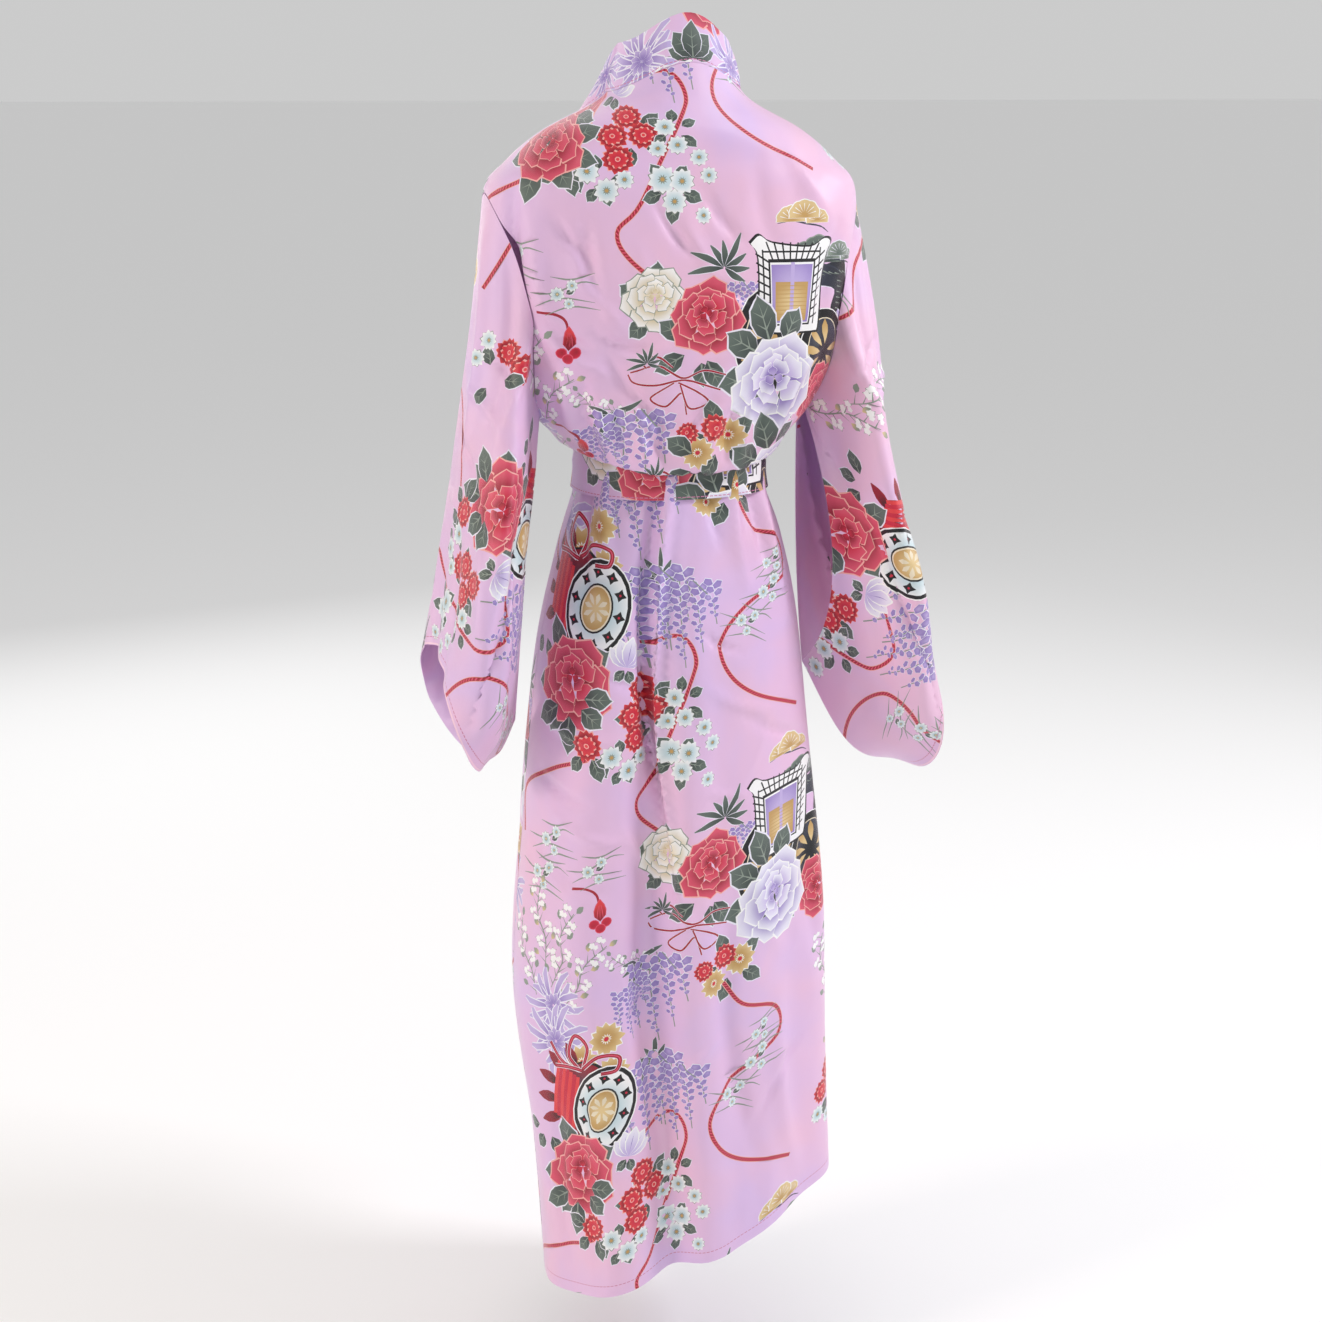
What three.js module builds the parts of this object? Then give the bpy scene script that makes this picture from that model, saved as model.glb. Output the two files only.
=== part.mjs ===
import * as THREE from 'three';

// A worn kimono robe in mm: X to the wearer's left, Y to the back, Z up.
// The origin is the middle of the neck, level with the nape seam.

const WALL = 2;             // cloth of the panels and sleeves
const BAND_WALL = 2.5;      // folded cloth of the collar and belt
const LAP = 4.5;            // the left front lies this far outside the right one
const LAP_START = { from: 121, to: 133 };   // angles where it lifts off
const COLLAR_WIDTH = 58;    // collar lying on the fronts
const COLLAR_STAND = 48;    // collar standing at the nape
const BELT_EASE = 1;        // belt outside the cloth that it ties
const KNOT = { angle: 180, half: 12, deep: 15 };
const TAIL = { wide: 36, narrow: 21, out: 8, lift: 3.3, top: 6.2, foot: 12.5 };   // angles to the middle

// Gaps at the seams, in degrees round the trunk and in rows down it
const SIDE_GAP = 0.12;
const ARM_GAP = 0.2;
const ROW_GAP = 0.012;

// Level sections of the body of the robe. At the front a row lies at zFront. It is rise higher
// at the sides, drops by tilt on the wearer's left, and the collar is sewn at the angle seam.
const ROWS = [
  { name: 'neck', z: 0, zFront: 0, half: 54, back: 60, front: 40, midX: 0, midY: 12, power: 2, rise: 0, tilt: 0, seam: 92 },
  { name: 'collar', z: -34, zFront: -34, half: 76, back: 80, front: 58, midX: 0, midY: 6, power: 2.05, rise: 0, tilt: 0, seam: 101 },
  { name: 'shoulder', z: -66, zFront: -66, half: 136, back: 100, front: 76, midX: 0, midY: 2, power: 2.1, rise: 0, tilt: 0, seam: 138 },
  { name: 'tip', z: -96, zFront: -96, half: 174, back: 106, front: 88, midX: 0, midY: 0, power: 2.2, rise: 0, tilt: 0, seam: 152 },
  { name: 'cap', z: -128, zFront: -128, half: 199, back: 111, front: 94, midX: 0, midY: 0, power: 2.2, rise: 0, tilt: 0, seam: 159 },
  { name: 'blade', z: -205, zFront: -205, half: 195, back: 117, front: 106, midX: 0, midY: 0, power: 2.3, rise: 0, tilt: 0, seam: 166 },
  { name: 'chest', z: -290, zFront: -290, half: 181, back: 115, front: 112, midX: 0, midY: 0, power: 2.3, rise: 0, tilt: 0, seam: 172 },
  { name: 'underarm', z: -350, zFront: -340, half: 154, back: 111, front: 108, midX: 2, midY: 0, power: 2.3, rise: 0, tilt: 0, seam: 176 },
  { name: 'blouse', z: -386, zFront: -366, half: 128, back: 109, front: 100, midX: 3, midY: 0, power: 2.3, rise: 8, tilt: 0, seam: 178 },
  { name: 'lip', z: -414, zFront: -378, half: 117, back: 103, front: 95, midX: 3, midY: 0, power: 2.3, rise: 24, tilt: 0, seam: 179 },
  { name: 'tuck', z: -386, zFront: -386, half: 110, back: 96, front: 91, midX: 3, midY: 0, power: 2.3, rise: 4, tilt: 0, seam: 180 },
  { name: 'gather', z: -384, zFront: -391, half: 104, back: 89, front: 88, midX: 2, midY: 0, power: 2.3, rise: 4, tilt: 0, seam: 181 },
  { name: 'waist', z: -405, zFront: -405, half: 101, back: 85, front: 86, midX: 2, midY: 0, power: 2.3, rise: 0, tilt: 0, seam: 182 },
  { name: 'beltLow', z: -440, zFront: -440, half: 103, back: 88, front: 88, midX: 2, midY: 0, power: 2.3, rise: 0, tilt: 0, seam: 184 },
  { name: 'highHip', z: -500, zFront: -500, half: 122, back: 101, front: 98, midX: 3, midY: 0, power: 2.3, rise: 0, tilt: 8, seam: 188 },
  { name: 'hip', z: -600, zFront: -600, half: 144, back: 117, front: 106, midX: 6, midY: 0, power: 2.3, rise: 0, tilt: 18, seam: 194 },
  { name: 'thigh', z: -760, zFront: -760, half: 161, back: 126, front: 112, midX: 8, midY: 0, power: 2.3, rise: 0, tilt: 32, seam: 199 },
  { name: 'knee', z: -950, zFront: -950, half: 176, back: 132, front: 118, midX: 6, midY: 0, power: 2.3, rise: 0, tilt: 46, seam: 200 },
  { name: 'calf', z: -1130, zFront: -1130, half: 168, back: 134, front: 122, midX: -7, midY: 0, power: 2.3, rise: 0, tilt: 58, seam: 200 },
  { name: 'hem', z: -1298, zFront: -1298, half: 166, back: 140, front: 126, midX: -16, midY: 0, power: 2.3, rise: 0, tilt: 68, seam: 200 },
];

// Long folds of the body: angle at each end, rows that they run between, height and half width
const FOLDS = [
  { name: 'centre ridge', top: 1, foot: 2, from: 'beltLow', to: 'hem', out: 9, spread: 6 },
  { name: 'centre valley', top: 14, foot: 16, from: 'beltLow', to: 'hem', out: -24, spread: 9 },
  { name: 'left lobe', top: 38, foot: 40, from: 'highHip', to: 'hem', out: 12, spread: 14 },
  { name: 'left side', top: 78, foot: 80, from: 'thigh', to: 'hem', out: 6, spread: 12 },
  { name: 'right valley', top: -38, foot: -36, from: 'hip', to: 'hem', out: -6, spread: 12 },
  { name: 'right lobe', top: -62, foot: -58, from: 'hip', to: 'hem', out: 8, spread: 11 },
  { name: 'right side', top: -95, foot: -96, from: 'thigh', to: 'hem', out: -7, spread: 12 },
  { name: 'left front ridge', top: 132, foot: 126, from: 'hip', to: 'hem', out: 8, spread: 13 },
  { name: 'front valley', top: 160, foot: 156, from: 'highHip', to: 'hem', out: -7, spread: 12 },
  { name: 'wrap ridge', top: 205, foot: 200, from: 'hip', to: 'hem', out: 7, spread: 13 },
  { name: 'right front ridge', top: 240, foot: 244, from: 'hip', to: 'hem', out: 7, spread: 12 },
  { name: 'back blade', top: 24, foot: 6, from: 'chest', to: 'lip', out: -6, spread: 9 },
];

// Sleeves, hung from the shoulder fold to a low corner. Points are for the wearer's left side.
const SLEEVES = [
  {
    name: 'sleeve_left', side: 1, belly: 56, bow: 14,
    mouthMid: { x: 178, y: 58, z: -545 }, mouthLow: { x: 178, y: 6, z: -690 },
    cuffTop: { x: 258, y: -6, z: -604 }, cuffMid: { x: 256, y: 92, z: -680 }, cuffLow: { x: 212, y: -4, z: -736 },
  },
  {
    name: 'sleeve_right', side: -1, belly: 56, bow: 40,
    mouthMid: { x: 166, y: 60, z: -530 }, mouthLow: { x: 152, y: 6, z: -648 },
    cuffTop: { x: 266, y: -6, z: -608 }, cuffMid: { x: 290, y: 96, z: -704 }, cuffLow: { x: 276, y: -4, z: -776 },
  },
];
const ARM_OPEN = 30;        // degrees that the armhole opens either side of the side line
const ARM_SHARE = 0.54;     // share of the sleeve's depth that is sewn into the armhole

// Divisions: how far down the armhole, down the open edge of a sleeve, and along a sleeve
const ARM_STEPS = [0, 0.06, 0.16, 0.3, 0.46, 0.62, 0.78, 0.9, 0.97];
const MOUTH_STEPS = [0.14, 0.32, 0.52, 0.72, 0.88, 1];
const SLEEVE_STEPS = [0, 0.05, 0.15, 0.28, 0.42, 0.56, 0.7, 0.85, 1];
const BACK_BANDS = [
  { from: 90, to: 46, steps: 6 }, { from: 46, to: -12, steps: 13 }, { from: -12, to: -90, steps: 8 },
];
const FRONT_STEPS = 11;
const BELT_STEPS = 36;

const row = (name) => ROWS.findIndex((r) => r.name === name);
const rad = (degrees) => THREE.MathUtils.degToRad(degrees);
const lerp = THREE.MathUtils.lerp;
const ease = (value, from, to) => THREE.MathUtils.smoothstep(value, from, to);
const vec = (x, y, z) => new THREE.Vector3(x, y, z);

const NECK_SIDE = 0.85;                       // the shoulder seam starts here, between two rows
const ARM_TOP = row('cap');
const ARM_LOW = row('underarm') + 0.3;
const COLLAR_END = row('hip') + 0.6;
const COLLAR_TAPER = 0.4;
const SHOULDER_ROWS = [NECK_SIDE, 1.15, 1.5, 2, 2.5, 3, 3.5];
const ARM_ROWS = ARM_STEPS.map((k) => lerp(ARM_TOP, ARM_LOW, k));
const LOWER_ROWS = [7.6, 8, 8.5, 9, 10, 11, 11.5, 12, 13, 14, 15, COLLAR_END - COLLAR_TAPER / 2, COLLAR_END, 16, 17, 18, 19];
const PANEL_ROWS = [...SHOULDER_ROWS, ...ARM_ROWS, ARM_LOW, ...LOWER_ROWS];

// Smooth value of one column of the table, at a place between two rows
function column(name, at) {
  const last = ROWS.length - 1;
  const i = Math.min(Math.max(Math.floor(at), 0), last - 1);
  const t = at - i;
  const value = (k) => ROWS[Math.min(Math.max(k, 0), last)][name];
  const [a, b, c, d] = [value(i - 1), value(i), value(i + 1), value(i + 2)];
  const slopeB = (c - a) / 2;
  const slopeC = (d - b) / 2;
  const t2 = t * t;
  const t3 = t2 * t;
  return b * (2 * t3 - 3 * t2 + 1) + slopeB * (t3 - 2 * t2 + t) + c * (3 * t2 - 2 * t3) + slopeC * (t3 - t2);
}

// Signed angle from one direction to another, in degrees
const turn = (angle) => ((angle + 540) % 360) - 180;

function foldHeight(angle, at) {
  let height = 0;
  for (const fold of FOLDS) {
    const along = (at - row(fold.from)) / (row(fold.to) - row(fold.from));
    if (along <= 0 || (fold.to !== 'hem' && along >= 1.5)) continue;
    const fade = fold.to === 'hem' ? 1 : 1 - ease(along, 1, 1.5);
    const away = turn(angle - lerp(fold.top, fold.foot, along)) / fold.spread;
    height += fold.out * ease(along, 0, 0.55) * fade * Math.exp(-away * away);
  }
  return height;
}

// Point on the body: angle 0 is the centre back, 90 the wearer's left, 180 the centre front
function trunk(angle, at, out = 0) {
  const s = Math.sin(rad(angle));
  const c = Math.cos(rad(angle));
  const power = 2 / column('power', at);
  const half = column('half', at);
  const deep = c > 0 ? column('back', at) : column('front', at);
  const lift = out + foldHeight(angle, at);
  const across = vec(s * deep, c * half, 0).normalize();
  const x = column('midX', at) + half * Math.sign(s) * Math.abs(s) ** power;
  const y = column('midY', at) + deep * Math.sign(c) * Math.abs(c) ** power;
  const frontness = ease(Math.abs(turn(angle)), 100, 140);
  const level = lerp(column('z', at), column('zFront', at), frontness);
  const z = level + column('rise', at) * s * s * (1 - frontness) - column('tilt', at) * s;
  return vec(x + across.x * lift, y + across.y * lift, z);
}

// Half angle of the armhole at a row
function armOpen(at) {
  const k = (at - ARM_TOP) / (ARM_LOW - ARM_TOP);
  if (k <= 0 || k >= 1) return 0;
  return ARM_OPEN * Math.sin(Math.PI * k ** 0.85) ** 0.75;
}

// The left front is lifted over the right one
const lapOut = (side, angle) => (side > 0 ? LAP * ease(angle, LAP_START.from, LAP_START.to) : 0);

// Point on a front, for angles counted from the back over that side
const frontPoint = (side, angle, at, out = 0) => trunk(side * angle, at, out + lapOut(side, angle));

// Angle that lies a distance in mm inside the collar seam
function inward(side, at, distance) {
  const hops = 8;
  const probe = 0.5;
  let angle = column('seam', at);
  for (let hop = 0; hop < hops; hop += 1) {
    const stretch = frontPoint(side, angle + probe, at).distanceTo(frontPoint(side, angle, at)) / probe;
    angle += distance / hops / stretch;
  }
  return angle;
}

// The collar is full width down to its slanted end
const collarWidth = (at) => COLLAR_WIDTH * (1 - 0.93 * ease(at, COLLAR_END - COLLAR_TAPER, COLLAR_END));

// A closed wall. point(i, j) is its outer face, with i to the right and j down as seen from
// outside, and the inner face is one thickness behind it.
function wall(across, down, point, thick, ring = false) {
  const wide = ring ? across : across + 1;
  const grid = [];
  for (let j = 0; j <= down; j += 1) {
    for (let i = 0; i < wide; i += 1) grid.push(point(i, j));
  }
  const index = (i, j) => j * wide + (ring ? (i + wide) % wide : i);
  const near = (i, j) => grid[index(ring ? i : Math.min(Math.max(i, 0), across), Math.min(Math.max(j, 0), down))];
  const inner = [];
  for (let j = 0; j <= down; j += 1) {
    for (let i = 0; i < wide; i += 1) {
      const along = near(i + 1, j).clone().sub(near(i - 1, j));
      const below = near(i, j + 1).clone().sub(near(i, j - 1));
      const normal = below.cross(along).normalize();
      const depth = typeof thick === 'function' ? thick(i, j) : thick;
      inner.push(near(i, j).clone().addScaledVector(normal, -depth));
    }
  }
  const faces = [];
  const quad = (a, b, c, d) => faces.push(a, c, b, a, d, c);
  const behind = grid.length;
  for (let j = 0; j < down; j += 1) {
    for (let i = 0; i < across; i += 1) {
      const [a, b, c, d] = [index(i, j), index(i + 1, j), index(i + 1, j + 1), index(i, j + 1)];
      quad(a, b, c, d);
      quad(behind + a, behind + d, behind + c, behind + b);
    }
  }
  for (let i = 0; i < across; i += 1) {
    const [a, b] = [index(i, 0), index(i + 1, 0)];
    quad(b, a, behind + a, behind + b);
    const [c, d] = [index(i, down), index(i + 1, down)];
    quad(c, d, behind + d, behind + c);
  }
  for (let j = 0; !ring && j < down; j += 1) {
    const [a, b] = [index(0, j), index(0, j + 1)];
    quad(a, b, behind + b, behind + a);
    const [c, d] = [index(across, j), index(across, j + 1)];
    quad(d, c, behind + c, behind + d);
  }
  const geometry = new THREE.BufferGeometry();
  const places = [...grid, ...inner].flatMap((p) => [p.x, p.y, p.z]);
  geometry.setAttribute('position', new THREE.Float32BufferAttribute(places, 3));
  geometry.setIndex(faces);
  geometry.computeVertexNormals();
  return geometry;
}

const robe = new THREE.Group();
robe.name = 'kimono_robe';

function add(name, geometry, colour) {
  const material = new THREE.MeshStandardMaterial({ color: colour, roughness: 0.5, metalness: 0 });
  const mesh = new THREE.Mesh(geometry, material);
  mesh.name = name;
  robe.add(mesh);
}

const PINK = 0xe8b8dc;
const LILAC = 0xd3b6dd;

// Back: one piece from side seam to side seam, cut away for the neck and the two armholes
const NECK_ROWS = 2;
const backAngles = BACK_BANDS.flatMap(({ from, to, steps }) => (
  Array.from({ length: steps }, (_, i) => lerp(from, to, i / steps)))).concat(-90);
const neckRow = (angle) => NECK_SIDE * Math.abs(Math.sin(rad(angle))) ** 1.6;
const BACK_STILL = 46;      // inside this angle the columns stay straight at the armholes

function backPoint(angle, at, out = 0) {
  const edge = 90 - armOpen(at) - (at > ARM_TOP && at < ARM_LOW ? ARM_GAP : SIDE_GAP);
  const away = Math.abs(angle);
  const squeezed = away <= BACK_STILL ? away : lerp(BACK_STILL, edge, (away - BACK_STILL) / (90 - BACK_STILL));
  const lowered = (neckRow(angle) - NECK_SIDE) * (1 - ease(at, NECK_SIDE, NECK_ROWS));
  return trunk(Math.sign(angle) * squeezed, at + lowered, out);
}

function addBack() {
  const point = (i, j) => backPoint(backAngles[i], PANEL_ROWS[j]);
  add('back', wall(backAngles.length - 1, PANEL_ROWS.length - 1, point, WALL), PINK);
}

// Fronts: from the side seam to the collar seam, and to the free edge below the collar
function addFront(name, side) {
  const point = (i, j) => {
    const at = PANEL_ROWS[j];
    const start = 90 + armOpen(at) + (at > ARM_TOP && at < ARM_LOW ? ARM_GAP : SIDE_GAP);
    const end = inward(side, at, COLLAR_WIDTH - collarWidth(at) - (at < COLLAR_END - COLLAR_TAPER ? 0.4 : 1));
    const k = side > 0 ? 1 - i / FRONT_STEPS : i / FRONT_STEPS;
    return frontPoint(side, lerp(start, end, k), at);
  };
  add(name, wall(FRONT_STEPS, PANEL_ROWS.length - 1, point, WALL), PINK);
}

// Collar: one band up the left front, round the nape and down the right front
const COLLAR_STEPS = 2;
const collarRows = PANEL_ROWS.filter((at) => at <= COLLAR_END);
const NECK_TURN = { from: NECK_SIDE, to: 2.3 };
const LEAN = 13;

function collarPoint(side, angle, at, k) {
  const base = at === null ? trunk(angle, neckRow(angle))
    : frontPoint(side, inward(side, at, COLLAR_WIDTH - collarWidth(at)), at);
  const lean = vec(-base.x, -(base.y - column('midY', 0)), 0).normalize().multiplyScalar(LEAN);
  const stand = vec(lean.x, lean.y, COLLAR_STAND).multiplyScalar(k);
  stand.z += 0.35;
  if (at === null) return base.add(stand);
  const flat = frontPoint(side, inward(side, at, COLLAR_WIDTH - collarWidth(at) * (1 - k)), at).sub(base);
  return base.add(stand.lerp(flat, ease(at, NECK_TURN.from, NECK_TURN.to)));
}

function addCollar() {
  const stations = [
    ...[...collarRows].reverse().map((at) => ({ side: 1, angle: 0, at })),
    ...backAngles.map((angle) => ({ side: 0, angle, at: null })),
    ...collarRows.map((at) => ({ side: -1, angle: 0, at })),
  ];
  const point = (i, j) => {
    const { side, angle, at } = stations[i];
    return collarPoint(side, angle, at, 1 - j / COLLAR_STEPS);
  };
  add('collar', wall(stations.length - 1, COLLAR_STEPS, point, BAND_WALL), LILAC);
}

// Sleeves: a ring of stations down the back layer and up the front one, swept to the cuff
const bend = (a, b, c, k) => a * (1 - k) * (1 - 2 * k) + b * 4 * k * (1 - k) + c * k * (2 * k - 1);

function addSleeve(sleeve) {
  const { side } = sleeve;
  const depths = [...ARM_STEPS.map((k) => (k / ARM_STEPS.at(-1)) * ARM_SHARE),
    ...MOUTH_STEPS.map((k) => ARM_SHARE + k * (1 - ARM_SHARE))];
  const layer = depths.slice(1, -1);
  const ring = [{ depth: 0, face: 1 }, ...layer.map((depth) => ({ depth, face: 1 })),
    { depth: 1, face: 1 }, ...[...layer].reverse().map((depth) => ({ depth, face: -1 }))];
  if (side < 0) ring.reverse();
  const armEdge = (face, k) => {
    const at = lerp(ARM_TOP, ARM_LOW, k * ARM_STEPS.at(-1));
    const open = Math.max(armOpen(at) - ARM_GAP, 0);
    return trunk(side * (90 - face * open), at + ROW_GAP * (1 - 2 * k), 0.3 * k);
  };
  const mouthEdge = (face, k) => {
    const top = armEdge(face, 1);
    const { mouthMid: mid, mouthLow: low } = sleeve;
    return vec(bend(top.x, side * mid.x, side * low.x, k), bend(top.y, face * mid.y, low.y, k), bend(top.z, mid.z, low.z, k));
  };
  const cuffEdge = (face, depth) => {
    const { cuffTop: top, cuffMid: mid, cuffLow: low } = sleeve;
    const fall = (1 - Math.cos(Math.PI * depth)) / 2;
    const round = Math.sin(Math.PI * depth) ** 0.9;
    const x = lerp(top.x, low.x, fall) + round * (mid.x - (top.x + low.x) / 2);
    const y = lerp(top.y, low.y, fall) + face * round * mid.y;
    const z = lerp(top.z, low.z, fall) + round * (mid.z - (top.z + low.z) / 2);
    return vec(side * x, y, z);
  };
  const point = (i, j) => {
    const { depth, face } = ring[i];
    const along = SLEEVE_STEPS[j];
    const sewn = depth <= ARM_SHARE;
    const inside = sewn ? armEdge(face, depth / ARM_SHARE) : mouthEdge(face, (depth - ARM_SHARE) / (1 - ARM_SHARE));
    const place = inside.lerp(cuffEdge(face, depth), along);
    const swell = Math.sin(Math.PI * along) ** 1.15;
    place.y += face * sleeve.belly * swell * Math.sin(Math.PI * depth);
    place.z -= sleeve.bow * swell * depth ** 6;
    return place;
  };
  add(sleeve.name, wall(ring.length, SLEEVE_STEPS.length - 1, point, WALL, true), PINK);
}

// Belt: a band round the waist with a flat knot at the front and two hanging ends
const BELT_ROWS = [row('gather') + 0.5, row('waist'), row('beltLow')];

function beltOut(angle) {
  const round = (angle + 360) % 360;
  return BELT_EASE + LAP * ease(round, 112, 126) * (1 - ease(round, 222, 240));
}

function addBelt() {
  const point = (i, j) => {
    const angle = -(360 * i) / BELT_STEPS;
    return trunk(angle, BELT_ROWS[j], beltOut(angle) + BAND_WALL);
  };
  add('belt', wall(BELT_STEPS, BELT_ROWS.length - 1, point, BAND_WALL, true), LILAC);
}

function addKnot() {
  const steps = 6;
  const edge = 3;
  const foot = BELT_EASE + LAP + BAND_WALL + 0.8;
  const spot = (i, j) => ({ u: (2 * i) / steps - 1, w: (2 * j) / steps - 1 });
  const height = (i, j) => {
    const { u, w } = spot(i, j);
    return edge + KNOT.deep * Math.sqrt(Math.max(0, (1 - u ** 4) * (1 - w ** 4)));
  };
  const point = (i, j) => {
    const { u, w } = spot(i, j);
    const at = lerp(BELT_ROWS[0], BELT_ROWS[2], (w + 1) / 2);
    return trunk(KNOT.angle - u * KNOT.half * (1 - 0.2 * w), at, foot + height(i, j));
  };
  add('belt_knot', wall(steps, steps, point, height), LILAC);
}

function addTail(name, lean) {
  const steps = 8;
  const top = row('beltLow') + ROW_GAP / 2;
  const end = row('hip') + 0.8;
  const point = (i, j) => {
    const k = j / steps;
    const at = lerp(top, end, k);
    const wide = lerp(TAIL.narrow, TAIL.wide, ease(k, 0, 0.3)) / 2;
    const centre = KNOT.angle + lean * lerp(TAIL.top, TAIL.foot, k);
    const reach = THREE.MathUtils.radToDeg(wide / column('half', at)) * 0.8;
    const out = TAIL.out + TAIL.lift * (1 - ease(k, 0, 0.25));
    return trunk(centre + reach * (1 - i), at, out);
  };
  add(name, wall(2, steps, point, WALL), LILAC);
}

addBack();
addFront('front_left', 1);
addFront('front_right', -1);
for (const sleeve of SLEEVES) addSleeve(sleeve);
addCollar();
addBelt();
addKnot();
addTail('belt_end_left', -1);
addTail('belt_end_right', 1);

export default robe;
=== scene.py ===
"""A printed satin kimono robe, filled out as it is worn and seen from behind.

The forms are worked out in millimetres: X to the wearer's left, Y to the back, Z up from the
nape. Every cloth piece is a thin shell on its solid's form. Its print is laid out flat, as the
cloth was printed before it was sewn, and is cut into the mesh of the cloth.
"""

import math

import bpy
import numpy as np
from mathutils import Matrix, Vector
from mathutils.geometry import delaunay_2d_cdt
from mathutils.kdtree import KDTree


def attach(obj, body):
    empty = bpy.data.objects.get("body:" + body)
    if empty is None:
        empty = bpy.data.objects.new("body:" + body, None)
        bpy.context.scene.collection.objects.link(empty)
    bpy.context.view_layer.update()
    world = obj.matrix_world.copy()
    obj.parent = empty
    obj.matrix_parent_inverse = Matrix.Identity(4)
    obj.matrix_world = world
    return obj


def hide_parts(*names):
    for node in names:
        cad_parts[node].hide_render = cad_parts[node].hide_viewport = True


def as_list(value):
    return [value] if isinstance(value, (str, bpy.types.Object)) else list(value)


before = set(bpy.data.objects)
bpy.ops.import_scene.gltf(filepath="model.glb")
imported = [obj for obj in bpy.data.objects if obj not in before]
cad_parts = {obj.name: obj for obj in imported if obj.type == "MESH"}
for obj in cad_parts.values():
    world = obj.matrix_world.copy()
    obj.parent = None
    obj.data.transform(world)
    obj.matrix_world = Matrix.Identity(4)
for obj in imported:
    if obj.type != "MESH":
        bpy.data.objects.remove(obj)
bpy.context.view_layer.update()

MM = 0.001
CLOTH = 0.9                 # thickness of the thin shell
INNER_PITCH = 1.9           # the inner face's mesh is this much coarser than the outer one's
INNER_REACH = 1.7           # and it stays below the creases this many pitches away
TOUCH = 0.01                # points of the pattern this close are the same
BAND_CLOTH = 1.6            # folded cloth of the collar and belt
LAP = 4.5                   # the left front lies this far outside the right one
LAP_START = (121, 133)      # angles where it lifts off
COLLAR_WIDTH = 58
COLLAR_STAND = 48
COLLAR_LEAN = 13
BELT_EASE = 1.0
BELT_CLOTH = 2.5
SIDE_GAP = 0.12             # seam gaps, in degrees round the trunk and in rows down it
ARM_GAP = 0.2
ROW_GAP = 0.012
ARM_OPEN = 30               # degrees that the armhole opens either side of the side line
ARM_SHARE = 0.54            # share of the sleeve's depth that is sewn into the armhole
ARM_END = 0.97


# The robe's form

ROW_COLUMNS = ("z", "z_front", "half", "back", "front", "mid_x", "mid_y", "power", "rise", "tilt", "seam")
ROWS = {
    "neck": (0, 0, 54, 60, 40, 0, 12, 2.0, 0, 0, 92),
    "collar": (-34, -34, 76, 80, 58, 0, 6, 2.05, 0, 0, 101),
    "shoulder": (-66, -66, 136, 100, 76, 0, 2, 2.1, 0, 0, 138),
    "tip": (-96, -96, 174, 106, 88, 0, 0, 2.2, 0, 0, 152),
    "cap": (-128, -128, 199, 111, 94, 0, 0, 2.2, 0, 0, 159),
    "blade": (-205, -205, 195, 117, 106, 0, 0, 2.3, 0, 0, 166),
    "chest": (-290, -290, 181, 115, 112, 0, 0, 2.3, 0, 0, 172),
    "underarm": (-350, -340, 154, 111, 108, 2, 0, 2.3, 0, 0, 176),
    "blouse": (-386, -366, 128, 109, 100, 3, 0, 2.3, 8, 0, 178),
    "lip": (-414, -378, 117, 103, 95, 3, 0, 2.3, 24, 0, 179),
    "tuck": (-386, -386, 110, 96, 91, 3, 0, 2.3, 4, 0, 180),
    "gather": (-384, -391, 104, 89, 88, 2, 0, 2.3, 4, 0, 181),
    "waist": (-405, -405, 101, 85, 86, 2, 0, 2.3, 0, 0, 182),
    "belt_low": (-440, -440, 103, 88, 88, 2, 0, 2.3, 0, 0, 184),
    "high_hip": (-500, -500, 122, 101, 98, 3, 0, 2.3, 0, 8, 188),
    "hip": (-600, -600, 144, 117, 106, 6, 0, 2.3, 0, 18, 194),
    "thigh": (-760, -760, 161, 126, 112, 8, 0, 2.3, 0, 32, 199),
    "knee": (-950, -950, 176, 132, 118, 6, 0, 2.3, 0, 46, 200),
    "calf": (-1130, -1130, 168, 134, 122, -7, 0, 2.3, 0, 58, 200),
    "hem": (-1298, -1298, 166, 140, 126, -16, 0, 2.3, 0, 68, 200),
}
ROW = {name: place for place, name in enumerate(ROWS)}
TABLE = {name: np.array([values[i] for values in ROWS.values()], float) for i, name in enumerate(ROW_COLUMNS)}

# Long folds: angle at the top and at the foot, rows between, height and half width in degrees
FOLDS = (
    (1, 2, "belt_low", "hem", 9, 6),
    (14, 16, "belt_low", "hem", -24, 9),
    (38, 40, "high_hip", "hem", 12, 14),
    (78, 80, "thigh", "hem", 6, 12),
    (-38, -36, "hip", "hem", -6, 12),
    (-62, -58, "hip", "hem", 8, 11),
    (-95, -96, "thigh", "hem", -7, 12),
    (132, 126, "hip", "hem", 8, 13),
    (160, 156, "high_hip", "hem", -7, 12),
    (205, 200, "hip", "hem", 7, 13),
    (240, 244, "hip", "hem", 7, 12),
    (24, 6, "chest", "lip", -6, 9),
)

NECK_SIDE = 0.85
ARM_TOP = ROW["cap"]
ARM_LOW = ROW["underarm"] + 0.3
COLLAR_END = ROW["hip"] + 0.6
COLLAR_TAPER = 0.4
HEM = ROW["hem"]


def ease(x, low, high):
    """0 below low, 1 above high, smooth between."""
    t = np.clip((np.asarray(x, float) - low) / (high - low), 0, 1)
    return t * t * (3 - 2 * t)


def mix(a, b, t):
    return a + (b - a) * t


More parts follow.
